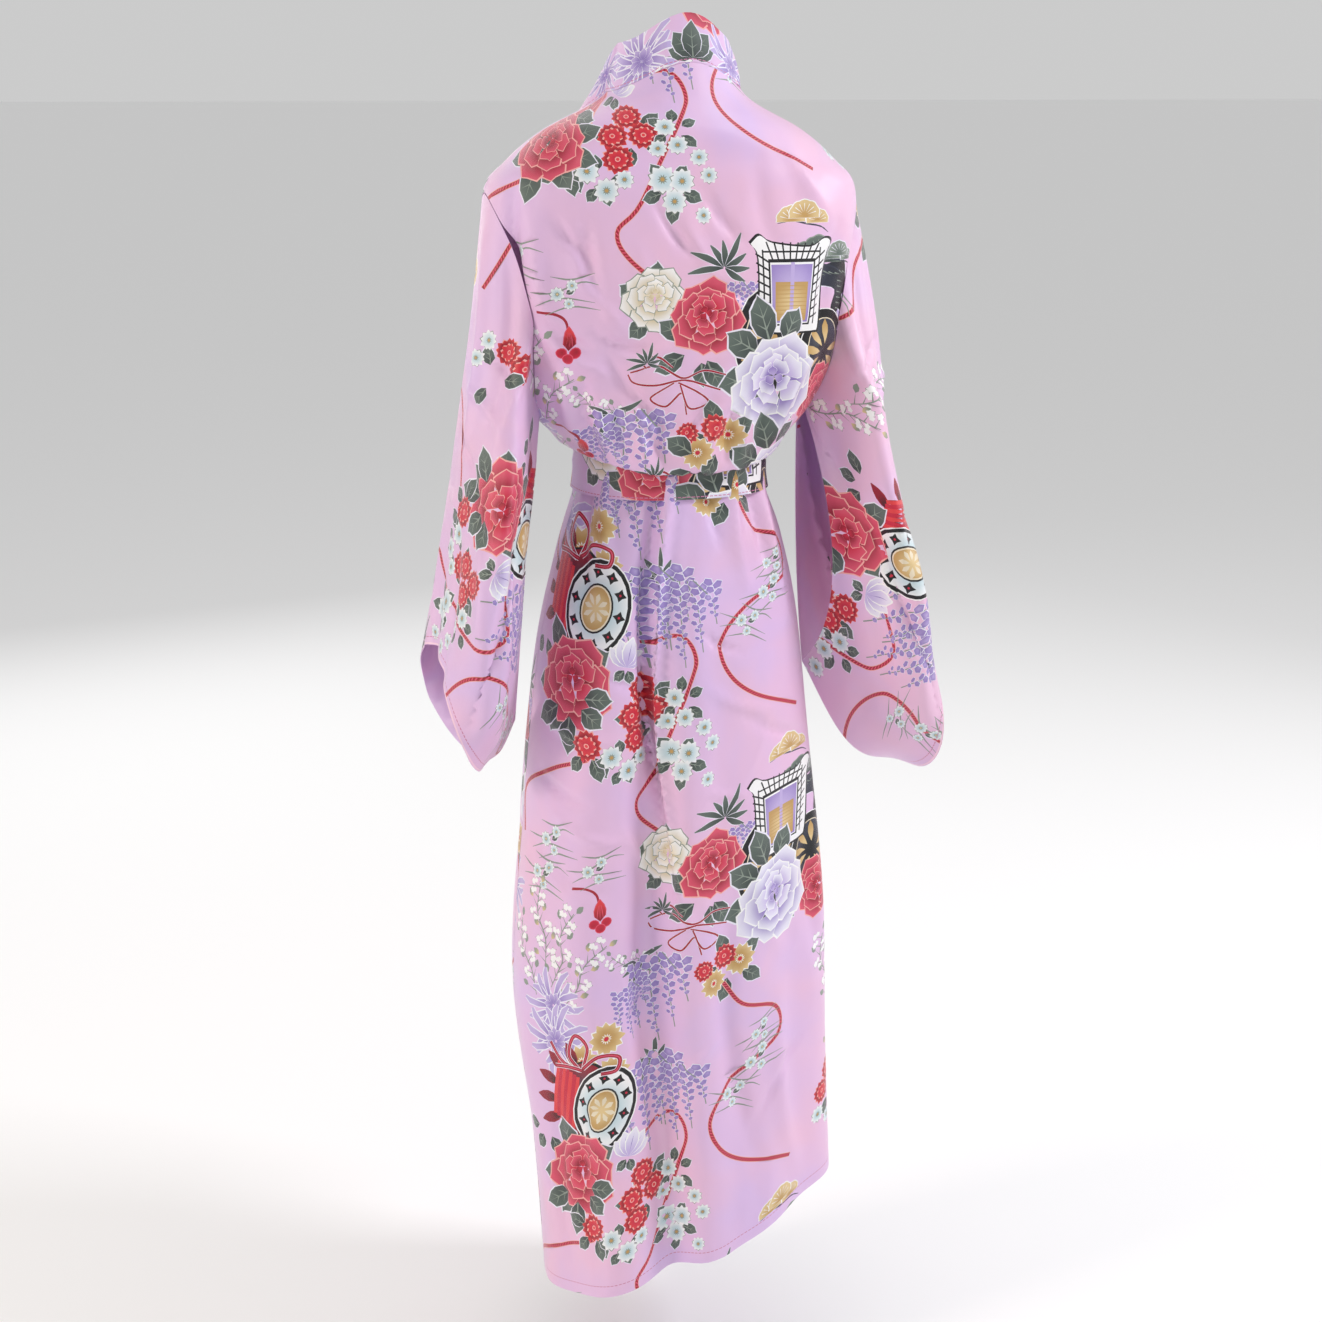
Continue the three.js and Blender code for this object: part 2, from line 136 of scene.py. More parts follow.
def column(name, at):
    """Smooth value of one column of the rows' table, between two rows."""
    values = TABLE[name]
    last = len(values) - 1
    at = np.asarray(at, float)
    i = np.clip(np.floor(at).astype(int), 0, last - 1)
    t = at - i
    a, b, c, d = (values[np.clip(i + k, 0, last)] for k in (-1, 0, 1, 2))
    rise_b, rise_c = (c - a) / 2, (d - b) / 2
    return (b * (2 * t**3 - 3 * t**2 + 1) + rise_b * (t**3 - 2 * t**2 + t)
            + c * (3 * t**2 - 2 * t**3) + rise_c * (t**3 - t**2))


def turned(angle):
    """The same angle, from -180 to 180."""
    return (np.asarray(angle, float) + 540) % 360 - 180


def fold_height(angle, at):
    height = np.zeros(np.broadcast(angle, at).shape)
    for top, foot, first, last, out, spread in FOLDS:
        along = (at - ROW[first]) / (ROW[last] - ROW[first])
        fade = 1 if last == "hem" else 1 - ease(along, 1, 1.5)
        away = turned(angle - mix(top, foot, along)) / spread
        height += out * ease(along, 0, 0.55) * fade * np.exp(-away * away)
    return height


def points(x, y, z):
    return np.stack(np.broadcast_arrays(x, y, z), -1).astype(float)


def trunk(angle, at, out=0.0):
    """Points on the body: angle 0 is the centre back, 90 the wearer's left, 180 the centre front."""
    angle, at = np.broadcast_arrays(np.asarray(angle, float), np.asarray(at, float))
    s, c = np.sin(np.radians(angle)), np.cos(np.radians(angle))
    power = 2 / column("power", at)
    half = column("half", at)
    deep = np.where(c > 0, column("back", at), column("front", at))
    lift = out + fold_height(angle, at)
    reach = np.hypot(s * deep, c * half)
    x = column("mid_x", at) + half * np.sign(s) * np.abs(s) ** power + lift * s * deep / reach
    y = column("mid_y", at) + deep * np.sign(c) * np.abs(c) ** power + lift * c * half / reach
    frontness = ease(np.abs(turned(angle)), 100, 140)
    level = mix(column("z", at), column("z_front", at), frontness)
    z = level + column("rise", at) * s * s * (1 - frontness) - column("tilt", at) * s
    return points(x, y, z)


def arm_open(at):
    """Half angle of the armhole at a row."""
    k = np.clip((np.asarray(at, float) - ARM_TOP) / (ARM_LOW - ARM_TOP), 0, 1)
    return ARM_OPEN * np.abs(np.sin(np.pi * k**0.85)) ** 0.75 * ((k > 0) & (k < 1))


def side_gap(at):
    at = np.asarray(at, float)
    return np.where((at > ARM_TOP) & (at < ARM_LOW), ARM_GAP, SIDE_GAP)


def lap_out(side, angle):
    """The left front is lifted over the right one."""
    return LAP * ease(angle, *LAP_START) if side > 0 else 0.0 * np.asarray(angle, float)


def front_place(side, angle, at, out=0.0):
    """Points on a front, for angles counted from the back over that side."""
    return trunk(side * angle, at, out + lap_out(side, angle))


def inward(side, at, distance):
    """Angle that lies a distance inside the collar seam."""
    hops, probe = 8, 0.5
    angle = column("seam", at)
    for _ in range(hops):
        gone = np.linalg.norm(front_place(side, angle + probe, at) - front_place(side, angle, at), axis=-1)
        angle = angle + distance / hops * probe / gone
    return angle


def collar_width(at):
    return COLLAR_WIDTH * (1 - 0.93 * ease(at, COLLAR_END - COLLAR_TAPER, COLLAR_END))


def neck_row(angle):
    return NECK_SIDE * np.abs(np.sin(np.radians(angle))) ** 1.6


def front_edge(side, at):
    """Angle of a front's inner edge: the collar seam, and below the collar the free edge."""
    gap = np.where(at < COLLAR_END - COLLAR_TAPER, 0.4, 1.0)
    return inward(side, at, COLLAR_WIDTH - collar_width(at) - gap)


# Sleeves: the points are for the wearer's left side
SLEEVES = {
    "sleeve_left": dict(
        side=1, belly=56, bow=14, mouth_mid=(178, 58, -545), mouth_low=(178, 6, -690),
        cuff_top=(258, -6, -604), cuff_mid=(256, 92, -680), cuff_low=(212, -4, -736)),
    "sleeve_right": dict(
        side=-1, belly=56, bow=40, mouth_mid=(166, 60, -530), mouth_low=(152, 6, -648),
        cuff_top=(266, -6, -608), cuff_mid=(290, 96, -704), cuff_low=(276, -4, -776)),
}


def sleeve_place(cut, turn, along, out=0.0):
    """Points on a sleeve. turn 0 is the top fold, 1 the foot of the back layer and -1 of the
    front layer, and along runs from the armhole to the cuff."""
    turn, along = np.broadcast_arrays(np.asarray(turn, float), np.asarray(along, float))
    side = cut["side"]
    depth = np.abs(turn)
    face = np.where(turn < 0, -1.0, 1.0)
    k = np.clip(depth / ARM_SHARE, 0, 1)
    at = mix(ARM_TOP, ARM_LOW, k * ARM_END)
    open_by = np.maximum(arm_open(at) - ARM_GAP, 0)
    sewn = trunk(side * (90 - face * open_by), at + ROW_GAP * (1 - 2 * k), 0.3 * k)
    top = trunk(side * (90 - face * max(float(arm_open(mix(ARM_TOP, ARM_LOW, ARM_END))) - ARM_GAP, 0)),
                mix(ARM_TOP, ARM_LOW, ARM_END) - ROW_GAP, 0.3)
    j = np.clip((depth - ARM_SHARE) / (1 - ARM_SHARE), 0, 1)
    mid, low = cut["mouth_mid"], cut["mouth_low"]

    def bend(a, b, c):
        return a * (1 - j) * (1 - 2 * j) + b * 4 * j * (1 - j) + c * j * (2 * j - 1)

    mouth = points(bend(top[..., 0], side * mid[0], side * low[0]),
                   bend(top[..., 1], face * mid[1], low[1]), bend(top[..., 2], mid[2], low[2]))
    inside = np.where((depth <= ARM_SHARE)[..., None], sewn, mouth)
    a, b, c = cut["cuff_top"], cut["cuff_mid"], cut["cuff_low"]
    fall = (1 - np.cos(np.pi * depth)) / 2
    bulge = np.sin(np.pi * np.clip(depth, 0, 1)) ** 0.9
    cuff = points(side * (mix(a[0], c[0], fall) + bulge * (b[0] - (a[0] + c[0]) / 2)),
                  mix(a[1], c[1], fall) + face * bulge * b[1],
                  mix(a[2], c[2], fall) + bulge * (b[2] - (a[2] + c[2]) / 2))
    place = mix(inside, cuff, along[..., None])
    swell = np.abs(np.sin(np.pi * np.clip(along, 0, 1))) ** 1.15
    place[..., 1] += face * cut["belly"] * swell * np.sin(np.pi * np.clip(depth, 0, 1))
    place[..., 2] -= cut["bow"] * swell * depth**6
    place[..., 1] += face * out
    return place


# Collar: trail is the path up the left front (below -1), round the nape and down the right

def collar_station(trail):
    """The side, the angle round the neck and the row for a place on the collar's path."""
    trail = np.asarray(trail, float)
    side = np.where(trail < 0, 1.0, -1.0)
    angle = -90 * np.clip(trail, -1, 1)
    at = NECK_SIDE + (np.maximum(np.abs(trail), 1) - 1)
    return side, angle, at


def collar_place(trail, across, out=0.0):
    """across is 0 at the free edge and 1 at the seam."""
    trail, across = np.broadcast_arrays(np.asarray(trail, float), np.asarray(across, float))
    _, angle, at = collar_station(trail)
    k = (1 - across)[..., None]
    round_neck = np.abs(trail) <= 1
    base = np.empty(trail.shape + (3,))
    flat = np.empty(trail.shape + (3,))
    for side, mask in ((1, trail < 0), (-1, trail >= 0)):
        if not mask.any():
            continue
        rows, width = at[mask], collar_width(at[mask])
        base[mask] = front_place(side, inward(side, rows, COLLAR_WIDTH - width), rows, out)
        flat[mask] = front_place(side, inward(side, rows, COLLAR_WIDTH - width * across[mask]), rows, out)
    nape = trunk(angle, neck_row(angle), out)
    join = ease(np.abs(trail), 1.0, 1.0001)[..., None]
    base = np.where(round_neck[..., None], nape, base)
    flat = flat - base
    lean = points(-base[..., 0], TABLE["mid_y"][0] - base[..., 1], 0 * trail)
    lean = lean / np.linalg.norm(lean, axis=-1, keepdims=True) * COLLAR_LEAN
    stand = points(lean[..., 0], lean[..., 1], COLLAR_STAND) * k + np.array([0, 0, 0.35])
    lie = ease(at, NECK_SIDE, 2.3)[..., None] * join
    return base + mix(stand, flat, lie)


# Belt: a band round the waist

BELT_TOP, BELT_FOOT = ROW["gather"] + 0.5, ROW["belt_low"]


def belt_place(angle, at, out=0.0):
    away = np.asarray(angle, float) % 360
    lap = LAP * ease(away, 112, 126) * (1 - ease(away, 222, 240))
    return trunk(angle, at, BELT_EASE + lap + BELT_CLOTH + out)


# Flat pattern of a piece

class Chart:
    """The flat pattern of a piece: a is measured across it from one angle, and b down it."""

    def __init__(self, place, angles, rows, origin, down):
        self.place = place
        self.angles = np.asarray(angles, float)
        self.rows = np.asarray(rows, float)
        spots = place(self.angles[None, :], self.rows[:, None])
        steps = np.linalg.norm(np.diff(spots, axis=1), axis=2)
        gone = np.concatenate([np.zeros((len(self.rows), 1)), np.cumsum(steps, axis=1)], axis=1)
        start = np.array([np.interp(origin, self.angles, line) for line in gone])
        self.a = gone - start[:, None]
        fall = np.linalg.norm(np.diff(place(np.full(len(self.rows), float(down)), self.rows), axis=0), axis=1)
        self.b = np.concatenate([[0], np.cumsum(fall)])

    def flat(self, angle, at):
        angle, at = np.broadcast_arrays(np.asarray(angle, float), np.asarray(at, float))
        i = np.interp(angle, self.angles, np.arange(len(self.angles)))
        j = np.interp(at, self.rows, np.arange(len(self.rows)))
        i0 = np.clip(i.astype(int), 0, len(self.angles) - 2)
        j0 = np.clip(j.astype(int), 0, len(self.rows) - 2)
        u, v = i - i0, j - j0
        a = (self.a[j0, i0] * (1 - u) * (1 - v) + self.a[j0, i0 + 1] * u * (1 - v)
             + self.a[j0 + 1, i0] * (1 - u) * v + self.a[j0 + 1, i0 + 1] * u * v)
        b = self.b[j0] * (1 - v) + self.b[j0 + 1] * v
        return np.stack([a, b], -1)

    def param(self, spots):
        """The angle and the row of flat points."""
        j = np.interp(spots[:, 1], self.b, np.arange(len(self.rows)))
        j0 = np.clip(j.astype(int), 0, len(self.rows) - 2)
        v = (j - j0)[:, None]
        line = self.a[j0] * (1 - v) + self.a[j0 + 1] * v
        a = spots[:, 0]
        i0 = np.clip((line < a[:, None]).sum(axis=1) - 1, 0, len(self.angles) - 2)
        each = np.arange(len(a))
        low, high = line[each, i0], line[each, i0 + 1]
        u = (a - low) / np.maximum(high - low, 1e-6)
        angle = self.angles[i0] * (1 - u) + self.angles[i0 + 1] * u
        at = self.rows[j0] * (1 - v[:, 0]) + self.rows[j0 + 1] * v[:, 0]
        return angle, at

    def surface(self, spots, out=0.0):
        """The places in space of flat points."""
        angle, at = self.param(spots)
        return self.place(angle, at, out)

    def shaped(self, spots, creases=()):
        """Places and normals of flat points. The normal comes from two short steps on the cloth."""
        step = 0.6
        centre = spots.mean(axis=0)
        aside = np.where(spots[:, 0] > centre[0], -step, step)
        below = np.where(spots[:, 1] > centre[1], -step, step)
        here = self.surface(spots)
        right = self.surface(spots + np.stack([aside, 0 * aside], -1))
        down = self.surface(spots + np.stack([0 * below, below], -1))
        plain = cross_unit(down - here, right - here) * np.sign(aside * below)[:, None]
        height = crease_height(creases, spots)
        right_height = crease_height(creases, spots + np.stack([aside, 0 * aside], -1)) - height
        down_height = crease_height(creases, spots + np.stack([0 * below, below], -1)) - height
        facing = np.sign((plain * (self.surface(spots, out=1.0) - here)).sum())
        across = right - here + plain * (facing * right_height[:, None])
        along = down - here + plain * (facing * down_height[:, None])
        normal = cross_unit(along, across) * np.sign(aside * below)[:, None]
        return here + plain * (facing * height[:, None]), normal * facing


def cross_unit(a, b):
    n = np.cross(a, b)
    return n / np.maximum(np.linalg.norm(n, axis=-1, keepdims=True), 1e-9)


def crease_height(creases, spots):
    """Soft troughs (below zero) and ridges along lines on the flat cloth."""
    height = np.zeros(len(spots))
    for (a0, b0), (a1, b1), lift, spread in creases:
        start, run = np.array([a0, b0]), np.array([a1 - a0, b1 - b0])
        long = np.hypot(*run)
        rel = spots - start
        t = rel @ run / long**2
        inside = np.clip(t, 0, 1)
        bow = 0.06 * long * np.sin(np.pi * inside)
        aside = (rel[:, 0] * run[1] - rel[:, 1] * run[0]) / long - bow
        beyond = (t - inside) * long
        away = np.hypot(aside, beyond) / spread
        height += lift * np.exp(-away * away) * np.sin(np.pi * np.clip(0.12 + 0.76 * inside, 0, 1)) ** 1.2
    return height


# Cutting a piece of cloth

def inside(spots, ring):
    """Which points lie inside a closed ring."""
    x, y = spots[:, 0], spots[:, 1]
    result = np.zeros(len(spots), bool)
    for (x0, y0), (x1, y1) in zip(ring, np.roll(ring, -1, axis=0)):
        crosses = (y0 > y) != (y1 > y)
        if crosses.any():
            result ^= crosses & (x < (x1 - x0) * (y - y0) / (y1 - y0 + 1e-12) + x0)
    return result


def filler(ring, pitch):
    """A staggered grid of points inside a ring, clear of its edge."""
    low, high = ring.min(axis=0), ring.max(axis=0)
    lines = np.arange(low[1] + pitch / 2, high[1], pitch * 0.87)
    spots = np.concatenate([
        np.stack([np.arange(low[0] + (pitch / 2 if k % 2 else 0), high[0], pitch), 0 * np.arange(
            low[0] + (pitch / 2 if k % 2 else 0), high[0], pitch) + b], -1) for k, b in enumerate(lines)])
    spots = spots[inside(spots, ring)]
    near = np.full(len(spots), 1e9)
    for p, q in zip(ring, np.roll(ring, -1, axis=0)):
        run = q - p
        t = np.clip((spots - p) @ run / max(run @ run, 1e-9), 0, 1)
        near = np.minimum(near, np.hypot(*(spots - p - t[:, None] * run).T))
    return spots[near > pitch * 0.4]


def counter_clockwise(ring):
    x, y = ring[:, 0], ring[:, 1]
    return ring if (x * np.roll(y, -1) - np.roll(x, -1) * y).sum() > 0 else ring[::-1]


def edge_loop(faces, slack=0):
    """The boundary of a set of triangles, in order. Stray slivers may have up to the slack's points."""
    starts, ends = faces.ravel(), np.roll(faces, -1, axis=1).ravel()
    count = int(faces.max()) + 1
    alone = ~np.isin(starts * count + ends, ends * count + starts)
    after = dict(zip(starts[alone].tolist(), ends[alone].tolist()))
    loops = []
    while after:
        here = next(iter(after))
        loop = []
        while here in after:
            loop.append(here)
            here = after.pop(here)
        loops.append(loop)
    loops.sort(key=len)
    if sum(len(loop) for loop in loops[:-1]) > slack:
        raise RuntimeError("a piece of cloth has more than one edge")
    return loops[-1]


def winding(spots, ring):
    """Which points a closed shape winds round, also where its edge crosses itself."""
    x, y = spots[:, 0, None], spots[:, 1, None]
    (x0, y0), (x1, y1) = ring.T, np.roll(ring, -1, axis=0).T
    rise = np.where(np.abs(y1 - y0) < 1e-9, 1e-9, y1 - y0)
    left = x < (x1 - x0) * (y - y0) / rise + x0
    turns = ((y0 <= y) & (y1 > y) & left).astype(int) - ((y1 <= y) & (y0 > y) & left)
    return turns.sum(axis=1) != 0


def triangulate(rings, extra, colours=None):
    """Triangles inside the first ring, with the index of the topmost ring round each.

    With the rings' colours, a second go keeps only the edges that show, where two colours meet.
    """
    starts = np.cumsum([0] + [len(ring) for ring in rings])
    edges = []
    for first, last in zip(starts, starts[1:]):
        edges += [(i, i + 1 if i + 1 < last else first) for i in range(first, last)]
    spots, tris, top = cover(np.concatenate(rings + [extra]), edges, rings)
    if colours is None:
        return spots, tris, top
    sides = np.sort(np.concatenate([tris[:, [0, 1]], tris[:, [1, 2]], tris[:, [2, 0]]]), axis=1)
    _, first, same, count = np.unique(
        sides, axis=0, return_index=True, return_inverse=True, return_counts=True)
    same = same.ravel()
    shade = np.tile(colours[top], (3, 1))
    differs = np.zeros(len(first), bool)
    np.logical_or.at(differs, same, (np.abs(shade - shade[first][same]) > 1e-3).any(axis=1))
    shown = sides[first][differs | (count == 1)]
    used, shown = np.unique(shown, return_inverse=True)
    edge = spots[edge_loop(tris, 30)]
    return cover(np.concatenate([spots[used], extra]), shown.reshape(-1, 2).tolist(), [edge] + rings[1:])


def cover(places, edges, rings):
    """Triangles over the places that keep the edges, and the index of the topmost ring round each."""
    spots, _, tris, _, _, _ = delaunay_2d_cdt([Vector(p) for p in places.tolist()], edges, [], 0, 1e-4, False)
    spots, tris = np.array([tuple(p) for p in spots]), np.array(tris)
    middle = spots[tris].mean(axis=1)
    kept = inside(middle, rings[0])
    tris, middle = tris[kept], middle[kept]
    order = np.argsort(middle[:, 0])
    tris, middle = tris[order], middle[order]
    top = np.zeros(len(tris), int)
    for k, ring in enumerate(rings[1:], 1):
        low, high = ring.min(axis=0), ring.max(axis=0)
        first, last = np.searchsorted(middle[:, 0], (low[0], high[0]))
        near = first + np.nonzero((middle[first:last, 1] > low[1]) & (middle[first:last, 1] < high[1]))[0]
        if len(near):
            top[near[winding(middle[near], ring)]] = k
    return spots, tris, top


def thinned(ring, slack=0.2):
    """The ring without points that lie almost on the line between their neighbours."""
    for start in (0, 1):
        if len(ring) < 6:
            break
        before, way = np.roll(ring, 1, axis=0), np.roll(ring, -1, axis=0) - np.roll(ring, 1, axis=0)
        rise = ring - before
        off = np.abs(way[:, 0] * rise[:, 1] - way[:, 1] * rise[:, 0]) / np.maximum(np.hypot(*way.T), 1e-6)
        ring = ring[(off > slack) | (np.arange(len(ring)) % 2 != start)]
    return ring


def tree_of(spots):
    tree = KDTree(len(spots))
    for i, (a, b) in enumerate(spots):
        tree.insert((a, b, 0), i)
    tree.balance()
    return tree


def inner_face(chart, edge, outline, creases, pitch, thick):
    """The coarser inner face inside an edge. It stays below the troughs of the outer face."""
    spots, faces, _ = triangulate([edge], filler(outline, pitch * INNER_PITCH))
    around = list(disc(1, count=8) * (pitch * INNER_REACH)) + [np.zeros(2)]
    sunk = np.min([crease_height(creases, spots + shift) for shift in around], axis=0)
    tree = tree_of(edge)
    at_edge = np.array([tree.find((a, b, 0))[2] < TOUCH for a, b in spots])
    sunk[at_edge] = crease_height(creases, spots[at_edge])
    place, normal = chart.shaped(spots)
    return spots, faces, place + normal * (sunk - thick)[:, None], normal


def rim_faces(pairs, agrees):
    """The narrow strip between the edges of the two faces."""
    rim = []
    for (a, c), (b, d) in zip(pairs, pairs[1:] + pairs[:1]):
        strip = [(b, a, c), (b, c, d)] if agrees else [(a, b, c), (b, d, c)]
        rim += strip if c != d else strip[:1]
    return np.array(rim)


def fill_mesh(name, verts, tris):
    mesh = bpy.data.meshes.new(name)
    mesh.vertices.add(len(verts))
    mesh.vertices.foreach_set("co", verts.astype(np.float32).ravel())
    mesh.loops.add(tris.size)
    mesh.loops.foreach_set("vertex_index", tris.astype(np.int32).ravel())
    mesh.polygons.add(len(tris))
    mesh.polygons.foreach_set("loop_start", np.arange(0, tris.size, 3, dtype=np.int32))
    mesh.update(calc_edges=True)
    return mesh


def cut_cloth(name, chart, outline, inks, creases, pitch, thick, ground):
    """A closed thin shell on its chart, with the print's inks cut into its outer face."""
    ring = counter_clockwise(outline)
    rings = [ring] + [thinned(ink["ring"]) for ink in inks]
    colours = np.array([(*ground, *ground)] + [(*ink["inner"], *ink["outer"]) for ink in inks])
    spots, faces, top = triangulate(rings, filler(ring, pitch), colours)
    used, faces = np.unique(faces, return_inverse=True)
    faces = faces.reshape(-1, 3)
    spots = spots[used]
    loop = edge_loop(faces)
    place, normal = chart.shaped(spots, creases)
    back_spots, back_faces, back_place, back_normal = inner_face(
        chart, spots[loop], outline, creases, pitch, thick)

    count = len(spots)
    tree = tree_of(back_spots)
    pairs = [(i, count + tree.find((*spots[i], 0))[1]) for i in loop]
    facing = np.cross(place[faces[:, 1]] - place[faces[:, 0]], place[faces[:, 2]] - place[faces[:, 0]])
    agrees = (facing * normal[faces[:, 0]]).sum() > 0
    outer = faces if agrees else faces[:, ::-1]
    inner = (back_faces[:, ::-1] if agrees else back_faces) + count
    rim = rim_faces(pairs, agrees)

    verts = np.concatenate([place, back_place]) * MM
    tris = np.concatenate([outer, inner, rim])
    mesh = fill_mesh(name, verts, tris)
    flats = np.concatenate([spots, back_spots]) * MM
    uv = mesh.uv_layers.new(name="cloth")
    uv.data.foreach_set("uv", flats[tris.ravel()].astype(np.float32).ravel())
    paint_print(mesh, inks, spots, outer, top, (len(inner) + len(rim)) * 3, ground)
    rim_place = verts[rim]
    rim_normal = cross_unit(rim_place[:, 1] - rim_place[:, 0], rim_place[:, 2] - rim_place[:, 0])
    every = np.concatenate([normal, -back_normal])
    loops = np.concatenate([every[outer.ravel()], every[inner.ravel()], np.repeat(rim_normal, 3, axis=0)])
    mesh.polygons.foreach_set("use_smooth", np.ones(len(tris), bool))
    mesh.normals_split_custom_set(loops.tolist())
    piece = bpy.data.objects.new(name, mesh)
    bpy.context.scene.collection.objects.link(piece)
    return piece


def paint_print(mesh, inks, spots, outer, top, rest, ground):
    """Colours of the print at each corner: ink from its heart to its rim, or the bare ground."""
    table = [dict(inner=ground, outer=ground, heart=(0, 0), low=0, high=1)] + list(inks)
    labels = ("inner", "outer", "heart", "low", "high")
    inner, rim, heart, low, high = (np.array([ink[label] for ink in table], float)[top] for label in labels)
    corner = spots[outer]
    away = np.linalg.norm(corner - heart[:, None, :], axis=2)
    t = ease((away - low[:, None]) / (high - low)[:, None], 0, 1)[..., None]
    colour = inner[:, None, :] * (1 - t) + rim[:, None, :] * t
    colour = colour.reshape(-1, 3)
    inked = np.repeat(top > 0, 3)[:, None].astype(float)
    colour = np.concatenate([colour, inked], axis=1)
    reverse = np.tile(np.array([*ground, 0.0]), (rest, 1))
    layer = mesh.color_attributes.new(name="print", type="FLOAT_COLOR", domain="CORNER")
    layer.data.foreach_set("color", np.concatenate([colour, reverse]).astype(np.float32).ravel())


# The print, drawn flat in millimetres to the right and up from the middle of each motif

def hue(red, green, blue):
    """A linear colour from an eight-bit one."""
    return tuple(((c / 255 + 0.055) / 1.055) ** 2.4 for c in (red, green, blue))


GROUND = hue(238, 203, 235)
RED, CRIMSON, ROSE = hue(206, 30, 62), hue(150, 12, 40), hue(226, 84, 112)
CORAL, BLUSH = hue(228, 62, 66), hue(246, 178, 170)
LILAC, VIOLET, PALE = hue(196, 178, 226), hue(150, 128, 196), hue(240, 238, 250)
WHITE, SKY, CREAM = hue(250, 250, 250), hue(198, 220, 226), hue(236, 224, 196)
LEAF, SAGE, DEEP = hue(98, 112, 104), hue(142, 154, 142), hue(58, 68, 66)
GOLD, STRAW, BLACK, SLATE = hue(196, 156, 92), hue(228, 202, 148), hue(14, 14, 18), hue(52, 56, 72)
CORD = hue(168, 28, 50)


def ink(ring, colour, rim=None, heart=(0, 0), low=0.0, high=1.0):
    """One closed shape of the print, with a colour that runs from its heart out to its rim."""
    return dict(ring=np.asarray(ring, float), inner=colour, outer=rim or colour,
                heart=np.asarray(heart, float), low=low, high=high)


def moved(inks, right=0.0, up=0.0, size=1.0, turn=0.0):
    c, s = math.cos(math.radians(turn)) * size, math.sin(math.radians(turn)) * size
    spin = np.array([[c, s], [-s, c]])
    shift = np.array([right, up])
    return [dict(shape, ring=shape["ring"] @ spin + shift, heart=shape["heart"] @ spin + shift,
                 low=shape["low"] * size, high=shape["high"] * size) for shape in inks]


def disc(radius, high=None, count=14, right=0.0, up=0.0):
    around = between(0, 2 * np.pi, count + 1)[:-1]
    return np.stack([right + radius * np.cos(around), up + (high or radius) * np.sin(around)], -1)


def petal(reach, width, fullness=1.2, ragged=0.0, foot=0.0, count=5):
    """A petal that points up from its foot. Fullness above 1 puts its widest part near the tip."""
    t = between(0, 1, count)
    half = width / 2 * np.sin(np.pi * np.clip(t, 0.02, 0.985) ** fullness) ** 0.75
    long = foot + (reach - foot) * t
    tooth = ragged * np.where(np.arange(count) % 2, 1.0, -1.0) * (t > 0.55)
    left = np.stack([-half - 0.4 * tooth, long + tooth], -1)
    right = np.stack([half + 0.4 * tooth, long - tooth], -1)
    return np.concatenate([left[1:], right[:0:-1], [(0, foot)]])


def smooth(points, steps=7):
    """A soft line through a few points."""
    p = np.array(points, float)
    p = np.concatenate([[2 * p[0] - p[1]], p, [2 * p[-1] - p[-2]]])
    t = (np.arange(steps) / steps)[:, None]
    runs = [0.5 * (2 * b + (c - a) * t + (2 * a - 5 * b + 4 * c - d) * t**2 + (3 * b - a - 3 * c + d) * t**3)
            for a, b, c, d in zip(p, p[1:], p[2:], p[3:])]
    return np.concatenate(runs + [p[-2:-1]])


def dash(start, tip, width=0.8):
    """A short line that narrows to a point."""
    (x, y), (x1, y1) = start, tip
    far = math.hypot(x1 - x, y1 - y)
    side, rise = (y1 - y) / far * width / 2, (x1 - x) / far * width / 2
    return np.array([(x - side, y + rise), (x + side, y - rise), (x1, y1)], float)


def star(points, reach, depth=0.55):
    """A small blossom as one shape."""
    around = between(0, 2 * np.pi, 2 * points + 1)[:-1]
    far = np.where(np.arange(2 * points) % 2, reach * depth, reach)
    return np.stack([far * np.sin(around), far * np.cos(around)], -1)


def stroke(line, width, taper=0.0):
    """A brush line. A taper of 1 brings both its ends to a point."""
    line = np.asarray(line, float)
    run = np.gradient(line, axis=0)
    side = np.stack([-run[:, 1], run[:, 0]], -1) / np.maximum(np.hypot(*run.T), 1e-6)[:, None]
    t = between(0, 1, len(line))
    half = width / 2 * (1 - taper + taper * np.sin(np.pi * np.clip(t, 0.03, 0.97)) ** 0.7)
    return np.concatenate([line + side * half[:, None], (line - side * half[:, None])[::-1]])


def crown(count, reach, width, colour, rim, edge=None, foot=0.0, fullness=1.2, ragged=0.0, offset=0.0,
          points=5):
    """A round of petals, each with a thin pale edge if one is named."""
    inks = []
    for k in range(count):
        turn = offset + 360 * k / count
        lean = reach * (1 + 0.07 * math.sin(2.3 * k + offset))
        each = [ink(petal(lean, width, fullness, ragged, foot, points), edge)] if edge else []
        each.append(ink(petal(lean * 0.97, width * 0.91, fullness, ragged, foot, points), colour, rim, (0, 0),
                        foot + 0.2 * reach, lean))
        inks += moved(each, turn=turn)
    return inks


def peony(colour=RED, deep=CRIMSON, rim=ROSE, edge=BLUSH):
    """A full peony, 60 mm across: ragged petals in four rounds, the heart a little high."""
    inks = crown(8, 31, 25, deep, rim, edge, 10, 1.7, 1.1, 10, 6)
    inks += moved(crown(6, 24, 22, deep, rim, edge, 7, 1.7, 0.9, 31, 6), 0, 1.5)
    inks += moved(crown(5, 17, 16, colour, rim, edge, 4, 1.6, 0.8, 5), 1, 3)
    inks += moved(crown(4, 11, 12, deep, rim, edge, 2, 1.5, 0.6, 44), 0, 4)
    return inks + moved(crown(3, 6, 6, colour, deep, rim, 0, 1.4, 0.3, 0), 0, 4.5)


def cream_peony():
    return peony(CREAM, hue(214, 198, 158), WHITE, SAGE)


